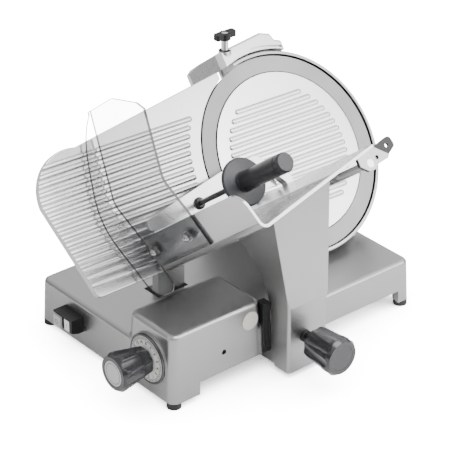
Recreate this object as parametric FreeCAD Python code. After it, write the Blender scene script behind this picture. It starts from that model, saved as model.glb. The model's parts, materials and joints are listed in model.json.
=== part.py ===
import FreeCAD, Part
import math
import os

# Gravity-feed deli slicer with a 300 mm blade.
# Frame: millimetres, +X along the long front edge (carriage travel), +Y to the rear, +Z up.
# Origin: centre of the four rubber feet, on the worktop.

Vec = FreeCAD.Vector
X_AXIS = Vec(1, 0, 0)
Y_AXIS = Vec(0, 1, 0)
Z_AXIS = Vec(0, 0, 1)

# ---------------------------------------------------------------- driving dimensions
BASE_LENGTH = 455.0
BASE_DEPTH = 312.0
BASE_TOP = 77.0             # height of the base's top deck above the worktop
BASE_WALL = 6.0
BASE_DRAFT = 2.4            # each side leans in by this much from bottom to deck
CORNER_RADIUS = 13.0
LEG_HEIGHT = 10.0           # underside of the legs above the worktop
SKIRT_HEIGHT = 30.0         # underside of the skirt between the legs
LEFT_LEG = 49.0
RIGHT_LEG = 25.0

HOUSING_LENGTH = 163.0      # raised control housing at the front left corner
HOUSING_DEPTH = 101.0
HOUSING_TOP = 117.0
HOUSING_STEP = 0.5          # the housing's outer faces stand this proud of the base's

FOOT_RADIUS = 10.5
FOOT_INSET = 11.0
FOOT_PEG_RADIUS = 4.0       # the peg that plugs each foot into its leg

BLADE_RADIUS = 150.0
BLADE_TILT = 37.5           # angle of the blade's plane from the vertical, degrees
BLADE_CENTRE_X = 365.0      # blade centre, measured from the base's front left corner
BLADE_CENTRE_Y = 175.0
BLADE_CENTRE_Z = 214.0
COVER_RADIUS = 125.4
GUARD_RADIUS = 157.5
RIB_FALL = -1.3             # slope of the ribs within the blade's plane, degrees

CARRIAGE_TRAVEL = 200.0
PUSHER_TRAVEL = 170.0
GAUGE_TRAVEL = 15.0         # widest slice
KNOB_TURN = 330.0           # degrees from closed to the widest slice
RUNNING_GAP = 0.05          # radial clearance of a shaft in its bush

LEFT = -BASE_LENGTH / 2
FRONT = -BASE_DEPTH / 2

# Blade frame: a along +X, b up the blade's plane, c out of it towards the operator.
BLADE_FRAME = FreeCAD.Placement(
    Vec(LEFT + BLADE_CENTRE_X, FRONT + BLADE_CENTRE_Y, BLADE_CENTRE_Z),
    FreeCAD.Rotation(X_AXIS, 90 - BLADE_TILT),
)
SLIDE_BACK = Vec(0, math.cos(math.radians(BLADE_TILT)), -math.sin(math.radians(BLADE_TILT)))


# ---------------------------------------------------------------- helpers
def box(x0, x1, y0, y1, z0, z1):
    """A box between two corners."""
    return Part.makeBox(x1 - x0, y1 - y0, z1 - z0, Vec(x0, y0, z0))


def base_box(x0, x1, y0, y1, z0, z1):
    """A box measured from the base's front left corner."""
    return box(LEFT + x0, LEFT + x1, FRONT + y0, FRONT + y1, z0, z1)


def base_point(x, y, z):
    """A point measured from the base's front left corner."""
    return Vec(LEFT + x, FRONT + y, z)


def rod(radius, length, start, direction):
    """A round bar."""
    return Part.makeCylinder(radius, length, start, direction)


def ring(outer, inner, length, start, direction):
    """A round bar with a bore."""
    return rod(outer, length, start, direction).cut(rod(inner, length, start, direction))


def prism(points, extrusion):
    """A closed outline of straight sides, extruded."""
    outline = Part.makePolygon([Vec(*p) for p in points] + [Vec(*points[0])])
    return Part.Face(outline).extrude(extrusion)


def turned(profile, start, direction):
    """A solid of revolution from (radius, distance along the axis) points."""
    outline = Part.makePolygon([Vec(r, 0, h) for r, h in profile] + [Vec(profile[0][0], 0, profile[0][1])])
    solid = Part.Face(outline).revolve(Vec(0, 0, 0), Z_AXIS, 360)
    solid.Placement = FreeCAD.Placement(start, FreeCAD.Rotation(Z_AXIS, direction))
    return solid


def rounded_rectangle(x0, x1, y0, y1, radius, z):
    """A wire round a rectangle with rounded corners, at one height."""
    r = radius
    k = radius * (1 - math.sqrt(0.5))
    corners = [
        (Vec(x1 - r, y0, z), Vec(x1 - k, y0 + k, z), Vec(x1, y0 + r, z)),
        (Vec(x1, y1 - r, z), Vec(x1 - k, y1 - k, z), Vec(x1 - r, y1, z)),
        (Vec(x0 + r, y1, z), Vec(x0 + k, y1 - k, z), Vec(x0, y1 - r, z)),
        (Vec(x0, y0 + r, z), Vec(x0 + k, y0 + k, z), Vec(x0 + r, y0, z)),
    ]
    edges = []
    for i, (start, middle, end) in enumerate(corners):
        edges.append(Part.Arc(start, middle, end).toShape())
        edges.append(Part.makeLine(end, corners[(i + 1) % 4][0]))
    return Part.Wire(edges)


def sheet(path, thickness, length):
    """A bent sheet: a path in (a, b), thickened to its left, extruded along c from c = 0."""
    left = []
    for i, (a, b) in enumerate(path):
        before = path[max(i - 1, 0)]
        after = path[min(i + 1, len(path) - 1)]
        normals = []
        for p, q in ((before, (a, b)), ((a, b), after)):
            run = math.hypot(q[0] - p[0], q[1] - p[1])
            if run > 0:
                normals.append((-(q[1] - p[1]) / run, (q[0] - p[0]) / run))
        mean = (sum(n[0] for n in normals), sum(n[1] for n in normals))
        size = math.hypot(*mean)
        mean = (mean[0] / size, mean[1] / size)
        reach = thickness / (mean[0] * normals[0][0] + mean[1] * normals[0][1])
        left.append((a + mean[0] * reach, b + mean[1] * reach))
    outline = [(a, b, 0) for a, b in path] + [(a, b, 0) for a, b in reversed(left)]
    return prism(outline, Vec(0, 0, length))


def edges_near(shape, test):
    """The edges of a shape whose middle point passes a test."""
    chosen = []
    for edge in shape.Edges:
        middle = edge.valueAt((edge.FirstParameter + edge.LastParameter) / 2)
        if test(middle, edge):
            chosen.append(edge)
    return chosen


def is_along(edge, direction):
    """True when an edge is straight and parallel to a direction."""
    if not isinstance(edge.Curve, Part.Line):
        return False
    return abs(edge.Curve.Direction.dot(direction)) > 0.999


def in_blade_frame(shape):
    """Moves a shape from the blade's own (a, b, c) frame to the object's."""
    moved = shape.copy()
    moved.Placement = BLADE_FRAME.multiply(moved.Placement)
    return moved


def blade_point(a, b, c):
    """A point of the blade's frame, in the object's frame."""
    return BLADE_FRAME.multVec(Vec(a, b, c))


def fuse(shapes):
    """One solid from touching shapes."""
    whole = shapes[0]
    for shape in shapes[1:]:
        whole = whole.fuse(shape)
    return whole.removeSplitter()


def cut(shape, tools):
    """A shape with every tool removed from it."""
    for tool in tools:
        shape = shape.cut(tool)
    return shape


def screw(head_radius, head_height, shank_radius, shank_length, seat, direction):
    """A hex-socket cap screw: seat is under the head, direction points from head to tip."""
    back = direction * -1
    head = rod(head_radius, head_height, seat, back)
    socket_depth = head_height * 0.6
    points = []
    for i in range(6):
        angle = math.radians(60 * i)
        points.append(Vec(head_radius * 0.5 * math.cos(angle), head_radius * 0.5 * math.sin(angle), 0))
    socket = Part.Face(Part.makePolygon(points + [points[0]])).extrude(Vec(0, 0, socket_depth))
    socket_floor = seat + back * (head_height - socket_depth)
    socket.Placement = FreeCAD.Placement(socket_floor, FreeCAD.Rotation(Z_AXIS, back))
    return head.cut(socket).fuse(rod(shank_radius, shank_length, seat, direction)).removeSplitter()


NODES = {}


def keep(name, solids):
    """Records a node's solids under its name."""
    NODES[name] = solids if isinstance(solids, list) else [solids]


# ---------------------------------------------------------------- base
FEET = [(FOOT_INSET, FOOT_INSET), (BASE_LENGTH - FOOT_INSET, FOOT_INSET),
        (FOOT_INSET, BASE_DEPTH - FOOT_INSET), (BASE_LENGTH - FOOT_INSET, BASE_DEPTH - FOOT_INSET)]
DECK_UNDERSIDE = BASE_TOP - BASE_WALL
KNOB_Y = 53.0               # axis of the thickness knob, from the base's front left corner
KNOB_Z = 63.5
DIAL_PAD = -0.4             # the flat round pad cast on the left face behind the dial
POST_LEFT = 101.0           # gauge post where it passes through the deck
POST_RIGHT = 149.0
POST_FRONT = 158.0
POST_THICKNESS = 14.0
MOTOR_A = -5.0              # motor axis in the blade's frame
MOTOR_B = -62.0
MOTOR_RADIUS = 42.0
SWITCH_Y = 228.0            # middle of the switch housing on the left face
SWITCH_Z = 45.0
SWITCH_HALF = 22.0


def lofted_block(x0, x1, y0, y1, z0, z1, radius, draft):
    """A block with rounded corners whose sides lean in by the draft from z0 to z1."""
    low = rounded_rectangle(LEFT + x0, LEFT + x1, FRONT + y0, FRONT + y1, radius, z0)
    high = rounded_rectangle(LEFT + x0 + draft, LEFT + x1 - draft, FRONT + y0 + draft, FRONT + y1 - draft,
                             radius, z1)
    return Part.makeLoft([low, high], True)


def make_base_casting():
    lean = BASE_DRAFT / (BASE_TOP - LEG_HEIGHT)
    deck = lofted_block(0, BASE_LENGTH, 0, BASE_DEPTH, LEG_HEIGHT, BASE_TOP, CORNER_RADIUS, BASE_DRAFT)
    deck = deck.makeFillet(7, edges_near(deck, lambda p, e: abs(p.z - BASE_TOP) < 0.01))
    housing_lean = lean * (HOUSING_TOP - LEG_HEIGHT)
    housing = lofted_block(-HOUSING_STEP, HOUSING_LENGTH + 4, -HOUSING_STEP, HOUSING_DEPTH + 4, LEG_HEIGHT,
                           HOUSING_TOP, CORNER_RADIUS, housing_lean)
    housing = housing.makeFillet(7, edges_near(housing, lambda p, e: abs(p.z - HOUSING_TOP) < 0.01))
    outside = deck.fuse(housing).removeSplitter()
    corner = edges_near(outside, lambda p, e: abs(p.z - BASE_TOP) < 0.5 and e.Length > 30
                        and p.x < LEFT + HOUSING_LENGTH + 3 and p.y < FRONT + HOUSING_DEPTH + 3
                        and (p.x > LEFT + 20) and (p.y > FRONT + 20))
    outside = outside.makeFillet(6, corner)
    w = BASE_WALL
    hollow = fuse([
        lofted_block(w, BASE_LENGTH - w, w, BASE_DEPTH - w, LEG_HEIGHT - 1, DECK_UNDERSIDE, 8, BASE_DRAFT),
        lofted_block(w, HOUSING_LENGTH - w, w, HOUSING_DEPTH - w, LEG_HEIGHT - 1, HOUSING_TOP - w, 8,
                     housing_lean),
    ])
    dial_pad = rod(39, w, knob_axis(DIAL_PAD), X_AXIS)
    shell = outside.cut(hollow).fuse(dial_pad)
    openings = [
        base_box(LEFT_LEG, BASE_LENGTH - RIGHT_LEG, -5, 30, 0, SKIRT_HEIGHT),
        base_box(LEFT_LEG, BASE_LENGTH - RIGHT_LEG, BASE_DEPTH - 30, BASE_DEPTH + 5, 0, SKIRT_HEIGHT),
        base_box(POST_LEFT - 4, POST_RIGHT + 4, POST_FRONT - 4, POST_FRONT + POST_THICKNESS + GAUGE_TRAVEL,
                 DECK_UNDERSIDE - 1, BASE_TOP + 1),
        base_box(308, 432, 135, 296, DECK_UNDERSIDE - 1, BASE_TOP + 1),
        rod(SPINDLE_RADIUS + RUNNING_GAP, 2 * w + 4, base_point(-2, KNOB_Y, KNOB_Z), X_AXIS),
        rod(4, 2 * w + 4, base_point(93.6, -2, 60.4), Y_AXIS),
        rod(GLAND_RADIUS, 2 * w + 4, base_point(GLAND_X, BASE_DEPTH - 2 * w, GLAND_Z), Y_AXIS),
        rod(9, 2 * w + 4, base_point(141.3, -2, 92.6), Y_AXIS),
        base_box(-3, w + 3, SWITCH_Y - 18, SWITCH_Y + 18, SWITCH_Z - 8, SWITCH_Z + 8),
    ]
    pads = []
    for x, y in FEET:
        pads.append(rod(12, BASE_TOP - LEG_HEIGHT - 8, base_point(x, y, LEG_HEIGHT), Z_AXIS).common(outside))
    return fuse([cut(shell, openings)] + pads + deck_lugs())


def deck_lugs():
    """The cast lugs and the guide rail that hang under the deck, each bored for its shaft."""
    roof = DECK_UNDERSIDE + 1
    carriage_shaft = rod(SHAFT_RADIUS, BASE_LENGTH, base_point(0, SHAFT_Y, SHAFT_Z), X_AXIS)
    spindle_bore = rod(SPINDLE_RADIUS + RUNNING_GAP, BASE_LENGTH, knob_axis(0), X_AXIS)
    lugs = [base_box(x0, x1, SHAFT_Y - 18, SHAFT_Y + 18, SHAFT_Z - 16, roof).cut(carriage_shaft)
            for x0, x1 in ((162, 174), (441.5, 450))]
    spindle_lug = base_box(82, 90, KNOB_Y - 14, KNOB_Y + 14, KNOB_Z - 14, HOUSING_TOP - BASE_WALL + 1)
    lugs.append(spindle_lug.cut(spindle_bore))
    lugs.append(base_box(162, 450, RAIL_Y, RAIL_Y + 12, RAIL_BOTTOM, roof))
    guide = gauge_guide()
    lugs.append(base_box(GAUGE_GUIDE_X - 12, GAUGE_GUIDE_X + 12, 134, 143, 50, roof).cut(guide))
    lugs.append(base_box(GAUGE_GUIDE_X - 12, GAUGE_GUIDE_X + 12, 193, 202, 14, roof).cut(guide))
    return lugs


def m5_screw(seat, direction):
    """The cap screw used throughout the base and the body."""
    return screw(4.5, 3.5, 2.5, 16, seat, direction)


def make_feet():
    """A straight rubber foot with a peg pressed into the leg above it, at each corner."""
    feet = []
    for x, y in FEET:
        tread = rod(FOOT_RADIUS, LEG_HEIGHT, base_point(x, y, 0), Z_AXIS)
        peg = rod(FOOT_PEG_RADIUS, 12, base_point(x, y, LEG_HEIGHT), Z_AXIS)
        feet.append(tread.fuse(peg).removeSplitter())
    keep("rubber_feet", feet)


# ---------------------------------------------------------------- thickness control on the left face
KNOB_LENGTH = 56.0
KNOB_RADIUS = 29.0
KNOB_FLUTES = 8
SPINDLE_RADIUS = 6.0
CAM_LEFT = 60.0             # cam disc on the knob's spindle, from the base's left face
CAM_WIDTH = 8.0
CAM_START = 14.0            # cam radius with the gauge plate closed
FOLLOWER_RADIUS = 4.0


def fluted_knob(face, direction, neck):
    """A plastic grip knob: face is the centre of its inner end, where it is neck thick, direction points outwards."""
    flute_circle = neck + 11.2
    flute_lean = (KNOB_RADIUS + 15.5 - flute_circle) / 62
    profile = [(0, 0), (neck - 3.5, 0), (neck - 1.5, 2), (neck, 10), (KNOB_RADIUS - 1.5, 36), (KNOB_RADIUS, 44),
               (KNOB_RADIUS, 50), (KNOB_RADIUS - 4, KNOB_LENGTH), (0, KNOB_LENGTH)]
    body = turned(profile, Vec(0, 0, 0), Z_AXIS)
    for i in range(KNOB_FLUTES):
        angle = 2 * math.pi * i / KNOB_FLUTES
        outward = Vec(math.cos(angle), math.sin(angle), 0)
        body = body.cut(rod(17, 80, outward * flute_circle + Vec(0, 0, -6), outward * flute_lean + Z_AXIS))
    body = body.cut(rod(19, 1.5, Vec(0, 0, KNOB_LENGTH - 1.5), Z_AXIS))
    body.Placement = FreeCAD.Placement(face, FreeCAD.Rotation(Z_AXIS, direction))
    return body


def knob_axis(x):
    """A point on the thickness knob's axis."""
    return base_point(x, KNOB_Y, KNOB_Z)


def make_thickness_control():
    out = X_AXIS * -1
    bezel = [(30, 0), (38, 0), (38, 2), (36.5, 3.2), (34.4, 3.2), (34.4, 0.5), (30, 0.5)]
    keep("dial_bezel", turned(bezel, knob_axis(DIAL_PAD), out))
    spindle = rod(SPINDLE_RADIUS, 130, knob_axis(-34), X_AXIS)
    dial = turned([(SPINDLE_RADIUS, 0), (34, 0), (34, 2.5), (33, 3), (SPINDLE_RADIUS, 3)], knob_axis(-1), out)
    keep("dial_scale", dial)
    keep("thickness_knob", fluted_knob(knob_axis(-6), out, 22.5).cut(spindle))
    keep("knob_cap", rod(18.8, 1.2, knob_axis(-4.5 - KNOB_LENGTH), out))
    keep("knob_spindle", spindle)
    # The cam's radius towards its follower grows by the gauge travel over the knob's full turn.
    turn = math.radians(KNOB_TURN)
    towards = math.atan2(SLIDE_BACK.z, SLIDE_BACK.y)

    def on_cam(radius, angle):
        return knob_axis(CAM_LEFT) + Vec(0, radius * math.cos(angle), radius * math.sin(angle))

    steps = 66
    points = []
    for i in range(steps + 1):
        points.append(on_cam(CAM_START + GAUGE_TRAVEL * i / steps, towards - turn * i / steps))
    spiral = Part.BSplineCurve()
    spiral.interpolate(points)
    dwell = math.radians(12)
    dwell_end = on_cam(CAM_START, towards + dwell)
    dwell_arc = Part.Arc(dwell_end, on_cam(CAM_START, towards + dwell / 2), points[0]).toShape()
    outline = Part.Wire([spiral.toShape(), Part.makeLine(points[-1], dwell_end), dwell_arc])
    keep("thickness_cam", Part.Face(outline).extrude(X_AXIS * CAM_WIDTH).cut(spindle))


# ---------------------------------------------------------------- start and stop switch
SWITCH_PROUD = 20.0
BUTTON_GAP = 0.5


def make_switch():
    low = SWITCH_Y - SWITCH_HALF
    high = SWITCH_Y + SWITCH_HALF
    floor = -6.0
    hood = base_box(-SWITCH_PROUD, 3, low, high, SWITCH_Z - 12.5, SWITCH_Z + 12.5)
    start_pocket = base_box(-SWITCH_PROUD - 1, floor, low + 6, low + 20, SWITCH_Z - 10.5, SWITCH_Z + 9.5)
    stop_pocket = base_box(-SWITCH_PROUD - 1, floor, low + 23, high + 1, SWITCH_Z - 13.5, SWITCH_Z + 9.5)
    hood = hood.cut(start_pocket).cut(stop_pocket)
    underside = prism([(-SWITCH_PROUD - 1, 0, -13.5), (-SWITCH_PROUD - 1, 0, -8), (-6, 0, -13.5)], Y_AXIS * 90)
    underside.translate(base_point(0, SWITCH_Y - 45, SWITCH_Z))
    hood = hood.cut(underside)
    start = (low + 6, low + 20, SWITCH_PROUD - 0.5)
    stop = (low + 23, high - 4, SWITCH_PROUD + 4)
    for name, (y0, y1, proud) in (("start_button", start), ("stop_button", stop)):
        g = BUTTON_GAP
        cap = base_box(-proud, floor - 4.5, y0 + g, y1 - g, SWITCH_Z - 9.5, SWITCH_Z + 9.5 - g)
        cap = cap.makeFillet(1.2, edges_near(cap, lambda p, e: abs(p.x - (LEFT - proud)) < 0.01))
        middle = base_point(floor - 4.5, (y0 + y1) / 2, SWITCH_Z)
        keep(name, cap.fuse(rod(3, 18, middle, X_AXIS)).removeSplitter())
        hood = hood.cut(rod(3.2, 30, middle, X_AXIS))
    keep("switch_housing", hood.cut(BASE))


def make_front_face_details():
    front = base_point(141.3, 4.2, 92.6)
    plug = rod(14, 3, front, Y_AXIS * -1).fuse(rod(9, 7, front, Y_AXIS)).removeSplitter().cut(BASE)
    keep("housing_plug", max(plug.Solids, key=lambda s: s.Volume))
    buffer = base_box(163, 176.4, -0.8, 14, 31, 111).cut(BASE)
    keep("carriage_buffer", max(buffer.Solids, key=lambda s: s.Volume))


# ---------------------------------------------------------------- carriage guides inside the base
SHAFT_Y = 66.0
SHAFT_Z = 48.0
SHAFT_RADIUS = 10.0
SHAFT_LENGTH = 287.0
ARM_X0 = 177.0              # left side of the arm's foot
ARM_X1 = 249.0
SLIDER_BOTTOM = 9.0
RAIL_Y = 106.0              # the rail that stops the carriage turning on its shaft
RAIL_BOTTOM = 56.0
ARM_KNOB_X = 206.5
ARM_KNOB_Z = 63.0
ARM_KNOB_STEM = 23.0        # bare length of the stud between arm and knob


def make_carriage_guides():
    keep("carriage_shaft", rod(SHAFT_RADIUS, SHAFT_LENGTH, base_point(159, SHAFT_Y, SHAFT_Z), X_AXIS))
    neck = base_box(ARM_X0 + 4, ARM_X0 + 36, ARM_FRONT + 6, 60, SLIDER_BOTTOM, 26)
    block = base_box(ARM_X0, ARM_X0 + 62, SHAFT_Y - 19, SHAFT_Y + 20, SLIDER_BOTTOM, 66)
    tail = base_box(ARM_X0 + 10, ARM_X0 + 50, SHAFT_Y + 20, RAIL_Y + 14, 34, 46)
    rubbing_pad = base_box(ARM_X0 + 14, ARM_X0 + 46, RAIL_Y - 2, RAIL_Y + 13, 46, RAIL_BOTTOM - RUNNING_GAP)
    bush_bore = rod(14, 80, base_point(ARM_X0 - 5, SHAFT_Y, SHAFT_Z), X_AXIS)
    slider = fuse([neck, block, tail, rubbing_pad]).cut(bush_bore)
    bolt_places = [base_point(ARM_X0 + dx, -20, SLIDER_BOTTOM) for dx in (12, 28)]
    keep("slider_bolts", [screw(4.5, 3, 3, 22, place + Z_AXIS * 3, Z_AXIS) for place in bolt_places])
    recess = Part.makeCompound([rod(5, 3, place, Z_AXIS) for place in bolt_places])
    keep("carriage_slider", slider.cut(recess).cut(Part.makeCompound(NODES["slider_bolts"])))
    bushes = [ring(14, SHAFT_RADIUS + RUNNING_GAP, 20, base_point(x, SHAFT_Y, SHAFT_Z), X_AXIS)
              for x in (ARM_X0, ARM_X0 + 42)]
    keep("carriage_bushes", bushes)


# ---------------------------------------------------------------- product tray, in the blade frame
TRAY_BACK = 5.0
TRAY_FRONT = 270.0
TRAY_SHEET = 4.0
TRAY_WALL_TOP = (-301.0, -37.0)
TRAY_VALLEY = (-285.0, -95.0)
TRAY_TIP = (-63.0, -46.6)
FLOOR_SLOPE = (TRAY_TIP[1] - TRAY_VALLEY[1]) / (TRAY_TIP[0] - TRAY_VALLEY[0])


def make_tray():
    tray = sheet([TRAY_TIP, TRAY_VALLEY, TRAY_WALL_TOP][::-1], TRAY_SHEET, TRAY_FRONT - TRAY_BACK)
    tray.translate(Vec(0, 0, TRAY_BACK))
    outer = edges_near(tray, lambda p, e: is_along(e, Z_AXIS) and p.y < -94 and p.x < -280)
    tray = tray.makeFillet(13, outer)
    inner = edges_near(tray, lambda p, e: is_along(e, Z_AXIS) and -92 < p.y < -85 and -284 < p.x < -270)
    tray = tray.makeFillet(9, inner)
    corner = edges_near(tray, lambda p, e: p.z > TRAY_FRONT - 0.1 and p.y > -39 and e.Length < 5)
    tray = tray.makeFillet(24, corner)
    return in_blade_frame(tray)


# ---------------------------------------------------------------- carriage arm and its knob
ARM_FRONT = -40.0
ARM_TOP_Z = 300.0
ARM_WALL = 6.0


def arm_profile(x_inset, y_shift, z_low):
    """The arm as the overlap of its side view and its front view."""
    side_points = [(ARM_FRONT + y_shift, z_low), (ARM_FRONT + y_shift, 115)]
    side = [Part.makeLine(base_point(0, *side_points[0]), base_point(0, *side_points[1])),
            Part.makeLine(base_point(0, ARM_FRONT + y_shift, 115), base_point(0, -5 + y_shift, ARM_TOP_Z)),
            Part.makeLine(base_point(0, -5 + y_shift, ARM_TOP_Z), base_point(0, 105 + y_shift, ARM_TOP_Z)),
            Part.makeLine(base_point(0, 105 + y_shift, ARM_TOP_Z), base_point(0, 105 + y_shift, 195)),
            Part.Arc(base_point(0, 105 + y_shift, 195), base_point(0, 22 + y_shift, 150),
                     base_point(0, -1 + y_shift, 75)).toShape(),
            Part.makeLine(base_point(0, -1 + y_shift, 75), base_point(0, -1 + y_shift, z_low)),
            Part.makeLine(base_point(0, -1 + y_shift, z_low), base_point(0, ARM_FRONT + y_shift, z_low))]
    side_solid = Part.Face(Part.Wire(side)).extrude(X_AXIS * 400)
    i = x_inset
    front = [(ARM_X0 + i, z_low), (ARM_X0 + i, 110), (ARM_X0 - 12 + i, ARM_TOP_Z),
             (ARM_X1 + 30 - i, ARM_TOP_Z), (ARM_X1 - i, 115), (ARM_X1 - i, z_low)]
    front_solid = prism([(LEFT + x, FRONT - 60, z) for x, z in front], Y_AXIS * 300)
    return side_solid.common(front_solid)


def make_arm():
    arm = arm_profile(0, 0, SLIDER_BOTTOM)
    arm = arm.makeFillet(5, edges_near(arm, lambda p, e: p.y < FRONT + ARM_FRONT + 0.5 and e.Length > 80
                                       and 20 < p.z < 110))
    hollow = arm_profile(ARM_WALL, ARM_WALL, 100)
    above = prism([(TRAY_VALLEY[0] - 200, TRAY_VALLEY[1] - 200 * FLOOR_SLOPE, 0),
                   (TRAY_TIP[0] + 100, TRAY_TIP[1] + 100 * FLOOR_SLOPE, 0), (TRAY_TIP[0] + 100, 400, 0),
                   (TRAY_VALLEY[0] - 200, 400, 0)], Vec(0, 0, 500))
    above.translate(Vec(0, 0, -60))
    behind = box(-400, 300, -400, 300, -80, TRAY_BACK + 18)
    arm = cut(arm, [hollow, in_blade_frame(above), in_blade_frame(behind)])
    web = arm_profile(0, 0, SLIDER_BOTTOM).common(in_blade_frame(floor_slab(-7.0, 0.0)))
    web = web.cut(in_blade_frame(behind))
    arm = arm.fuse(web).removeSplitter()
    neck = base_box(ARM_X0 + 4, ARM_X0 + 36, ARM_FRONT + 6, 10, SLIDER_BOTTOM - 1, 26)
    stud_hole = rod(4 + RUNNING_GAP, 42, base_point(ARM_KNOB_X, ARM_FRONT + 14.5, ARM_KNOB_Z), Y_AXIS * -1)
    return cut(arm, [neck, stud_hole])


def floor_slab(low, high):
    """A slab parallel to the tray's floor, between two heights measured from its underside."""
    left = TRAY_VALLEY[0] + 6
    right = TRAY_TIP[0] - 30
    corners = [(left, low), (right, low), (right, high), (left, high)]
    slab = prism([(a, floor_height(a) + d, 0) for a, d in corners], Vec(0, 0, 262))
    slab.translate(Vec(0, 0, TRAY_BACK))
    return slab


def floor_height(a):
    """Height b of the tray floor's underside at a place along it."""
    return TRAY_VALLEY[1] + (a - TRAY_VALLEY[0]) * FLOOR_SLOPE


def make_carriage():
    tray = make_tray()
    arm = make_arm()
    arm = arm.cut(Part.makeCompound(NODES["slider_bolts"]))
    down = Vec(FLOOR_SLOPE, -1, 0).normalize()
    bolts = []
    for a, c in ((-170, 120), (-125, 120), (-170, 175), (-125, 175)):
        seat = Vec(a, floor_height(a) + TRAY_SHEET - 1.5, c)
        head = rod(5, 1.5, seat, down * -1)
        bolts.append(in_blade_frame(head.fuse(rod(2.5, 8, seat, down)).removeSplitter()))
    keep("tray_screws", bolts)
    group = Part.makeCompound(bolts)
    keep("carriage_arm", arm.cut(group))
    keep("product_tray", tray.cut(group))
    out = Y_AXIS * -1
    stud = rod(4, 49, base_point(ARM_KNOB_X, ARM_FRONT + 14, ARM_KNOB_Z), out)
    collar = rod(9, 6, base_point(ARM_KNOB_X, ARM_FRONT, ARM_KNOB_Z), out)
    keep("arm_knob_stud", stud.fuse(collar).removeSplitter())
    knob = fluted_knob(base_point(ARM_KNOB_X, ARM_FRONT - ARM_KNOB_STEM, ARM_KNOB_Z), out, 26)
    keep("arm_knob", knob.cut(stud))
    cap_seat = ARM_FRONT - ARM_KNOB_STEM - KNOB_LENGTH + 1.5
    keep("arm_knob_cap", rod(18.8, 1.2, base_point(ARM_KNOB_X, cap_seat, ARM_KNOB_Z), out))


# ---------------------------------------------------------------- clear hand guard on the tray's wall
GUARD_SHEET = 4.0
GUARD_BACK = 5.0
GUARD_FRONT = 150.0
WALL_SLOPE = (TRAY_WALL_TOP[0] - TRAY_VALLEY[0]) / (TRAY_WALL_TOP[1] - TRAY_VALLEY[1])
GUARD_BOLTS = (26.0, 118.0)
BOLT_HEIGHT = -59.0


def wall_at(b):
    """Place a of the wall's outer face at a height b."""
    return TRAY_VALLEY[0] + (b - TRAY_VALLEY[1]) * WALL_SLOPE


def make_hand_guard():
    path = [(wall_at(-83), -83), (wall_at(-30), -30), (-320, 22), (-297, 156)]
    main = sheet(path[::-1], -GUARD_SHEET, GUARD_FRONT - GUARD_BACK)
    main.translate(Vec(0, 0, GUARD_BACK))
    main = main.makeFillet(40, edges_near(main, lambda p, e: is_along(e, Z_AXIS) and 5 < p.y < 40))
    top = prism([(-400, 156.5, 74), (-400, 133, 135), (-400, 112, 160), (-400, 170, 160), (-400, 170, 74)],
                X_AXIS * 200)
    main = main.cut(top)
    flange_edge = Part.BSplineCurve()
    flange_edge.interpolate([Vec(-297, 156, 0), Vec(-318, 128, 0), Vec(-338, 71, 0), Vec(-349, 6, 0),
                             Vec(-327, -84, 0), Vec(-306, -121, 0), Vec(-290, -123, 0), Vec(-281, -112, 0)])
    inner = [Vec(-281, -112, 0), Vec(wall_at(-83), -83, 0), Vec(wall_at(-30), -30, 0), Vec(-320, 22, 0),
             Vec(-297, 156, 0)]
    edges = [flange_edge.toShape()] + [Part.makeLine(p, q) for p, q in zip(inner, inner[1:])]
    flange = Part.Face(Part.Wire(edges)).extrude(Vec(0, 0, GUARD_SHEET))
    flange.translate(Vec(0, 0, GUARD_BACK))
    guard = main.fuse(flange).removeSplitter()
    gap = 0.05
    tray_space = prism([(wall_at(-130) + gap, -130, 0), (wall_at(-20) + gap, -20, 0), (-200, -20, 0),
                        (-200, -130, 0)], Vec(0, 0, 300))
    keep_clear = tray_space.common(box(-400, -200, TRAY_VALLEY[1] - 0.5, -36, 0, 300))
    return guard.cut(keep_clear)


# ---------------------------------------------------------------- pusher on its shaft
PUSHER_SHAFT_A = -78.0
PUSHER_SHAFT_B = -66.0
PUSHER_SHAFT_R = 6.0
SWING_CLEAR_R = 28.5  # the plate is cut back this far round the shaft, to pass the floor's right edge
LUG_HOLES = ((-64, -61.5), (-39, -51.3))
PLATE_BACK = 26.0
PLATE_SHEET = 5.0
HANDLE_A = -204.0
HANDLE_B = -21.5
FLANGE_C = 150.0
GRIP_END = 262.0


def on_floor(a, above):
    """An outline point at a height above the tray floor's underside."""
    return (a, floor_height(a) + above, 0)


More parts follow.
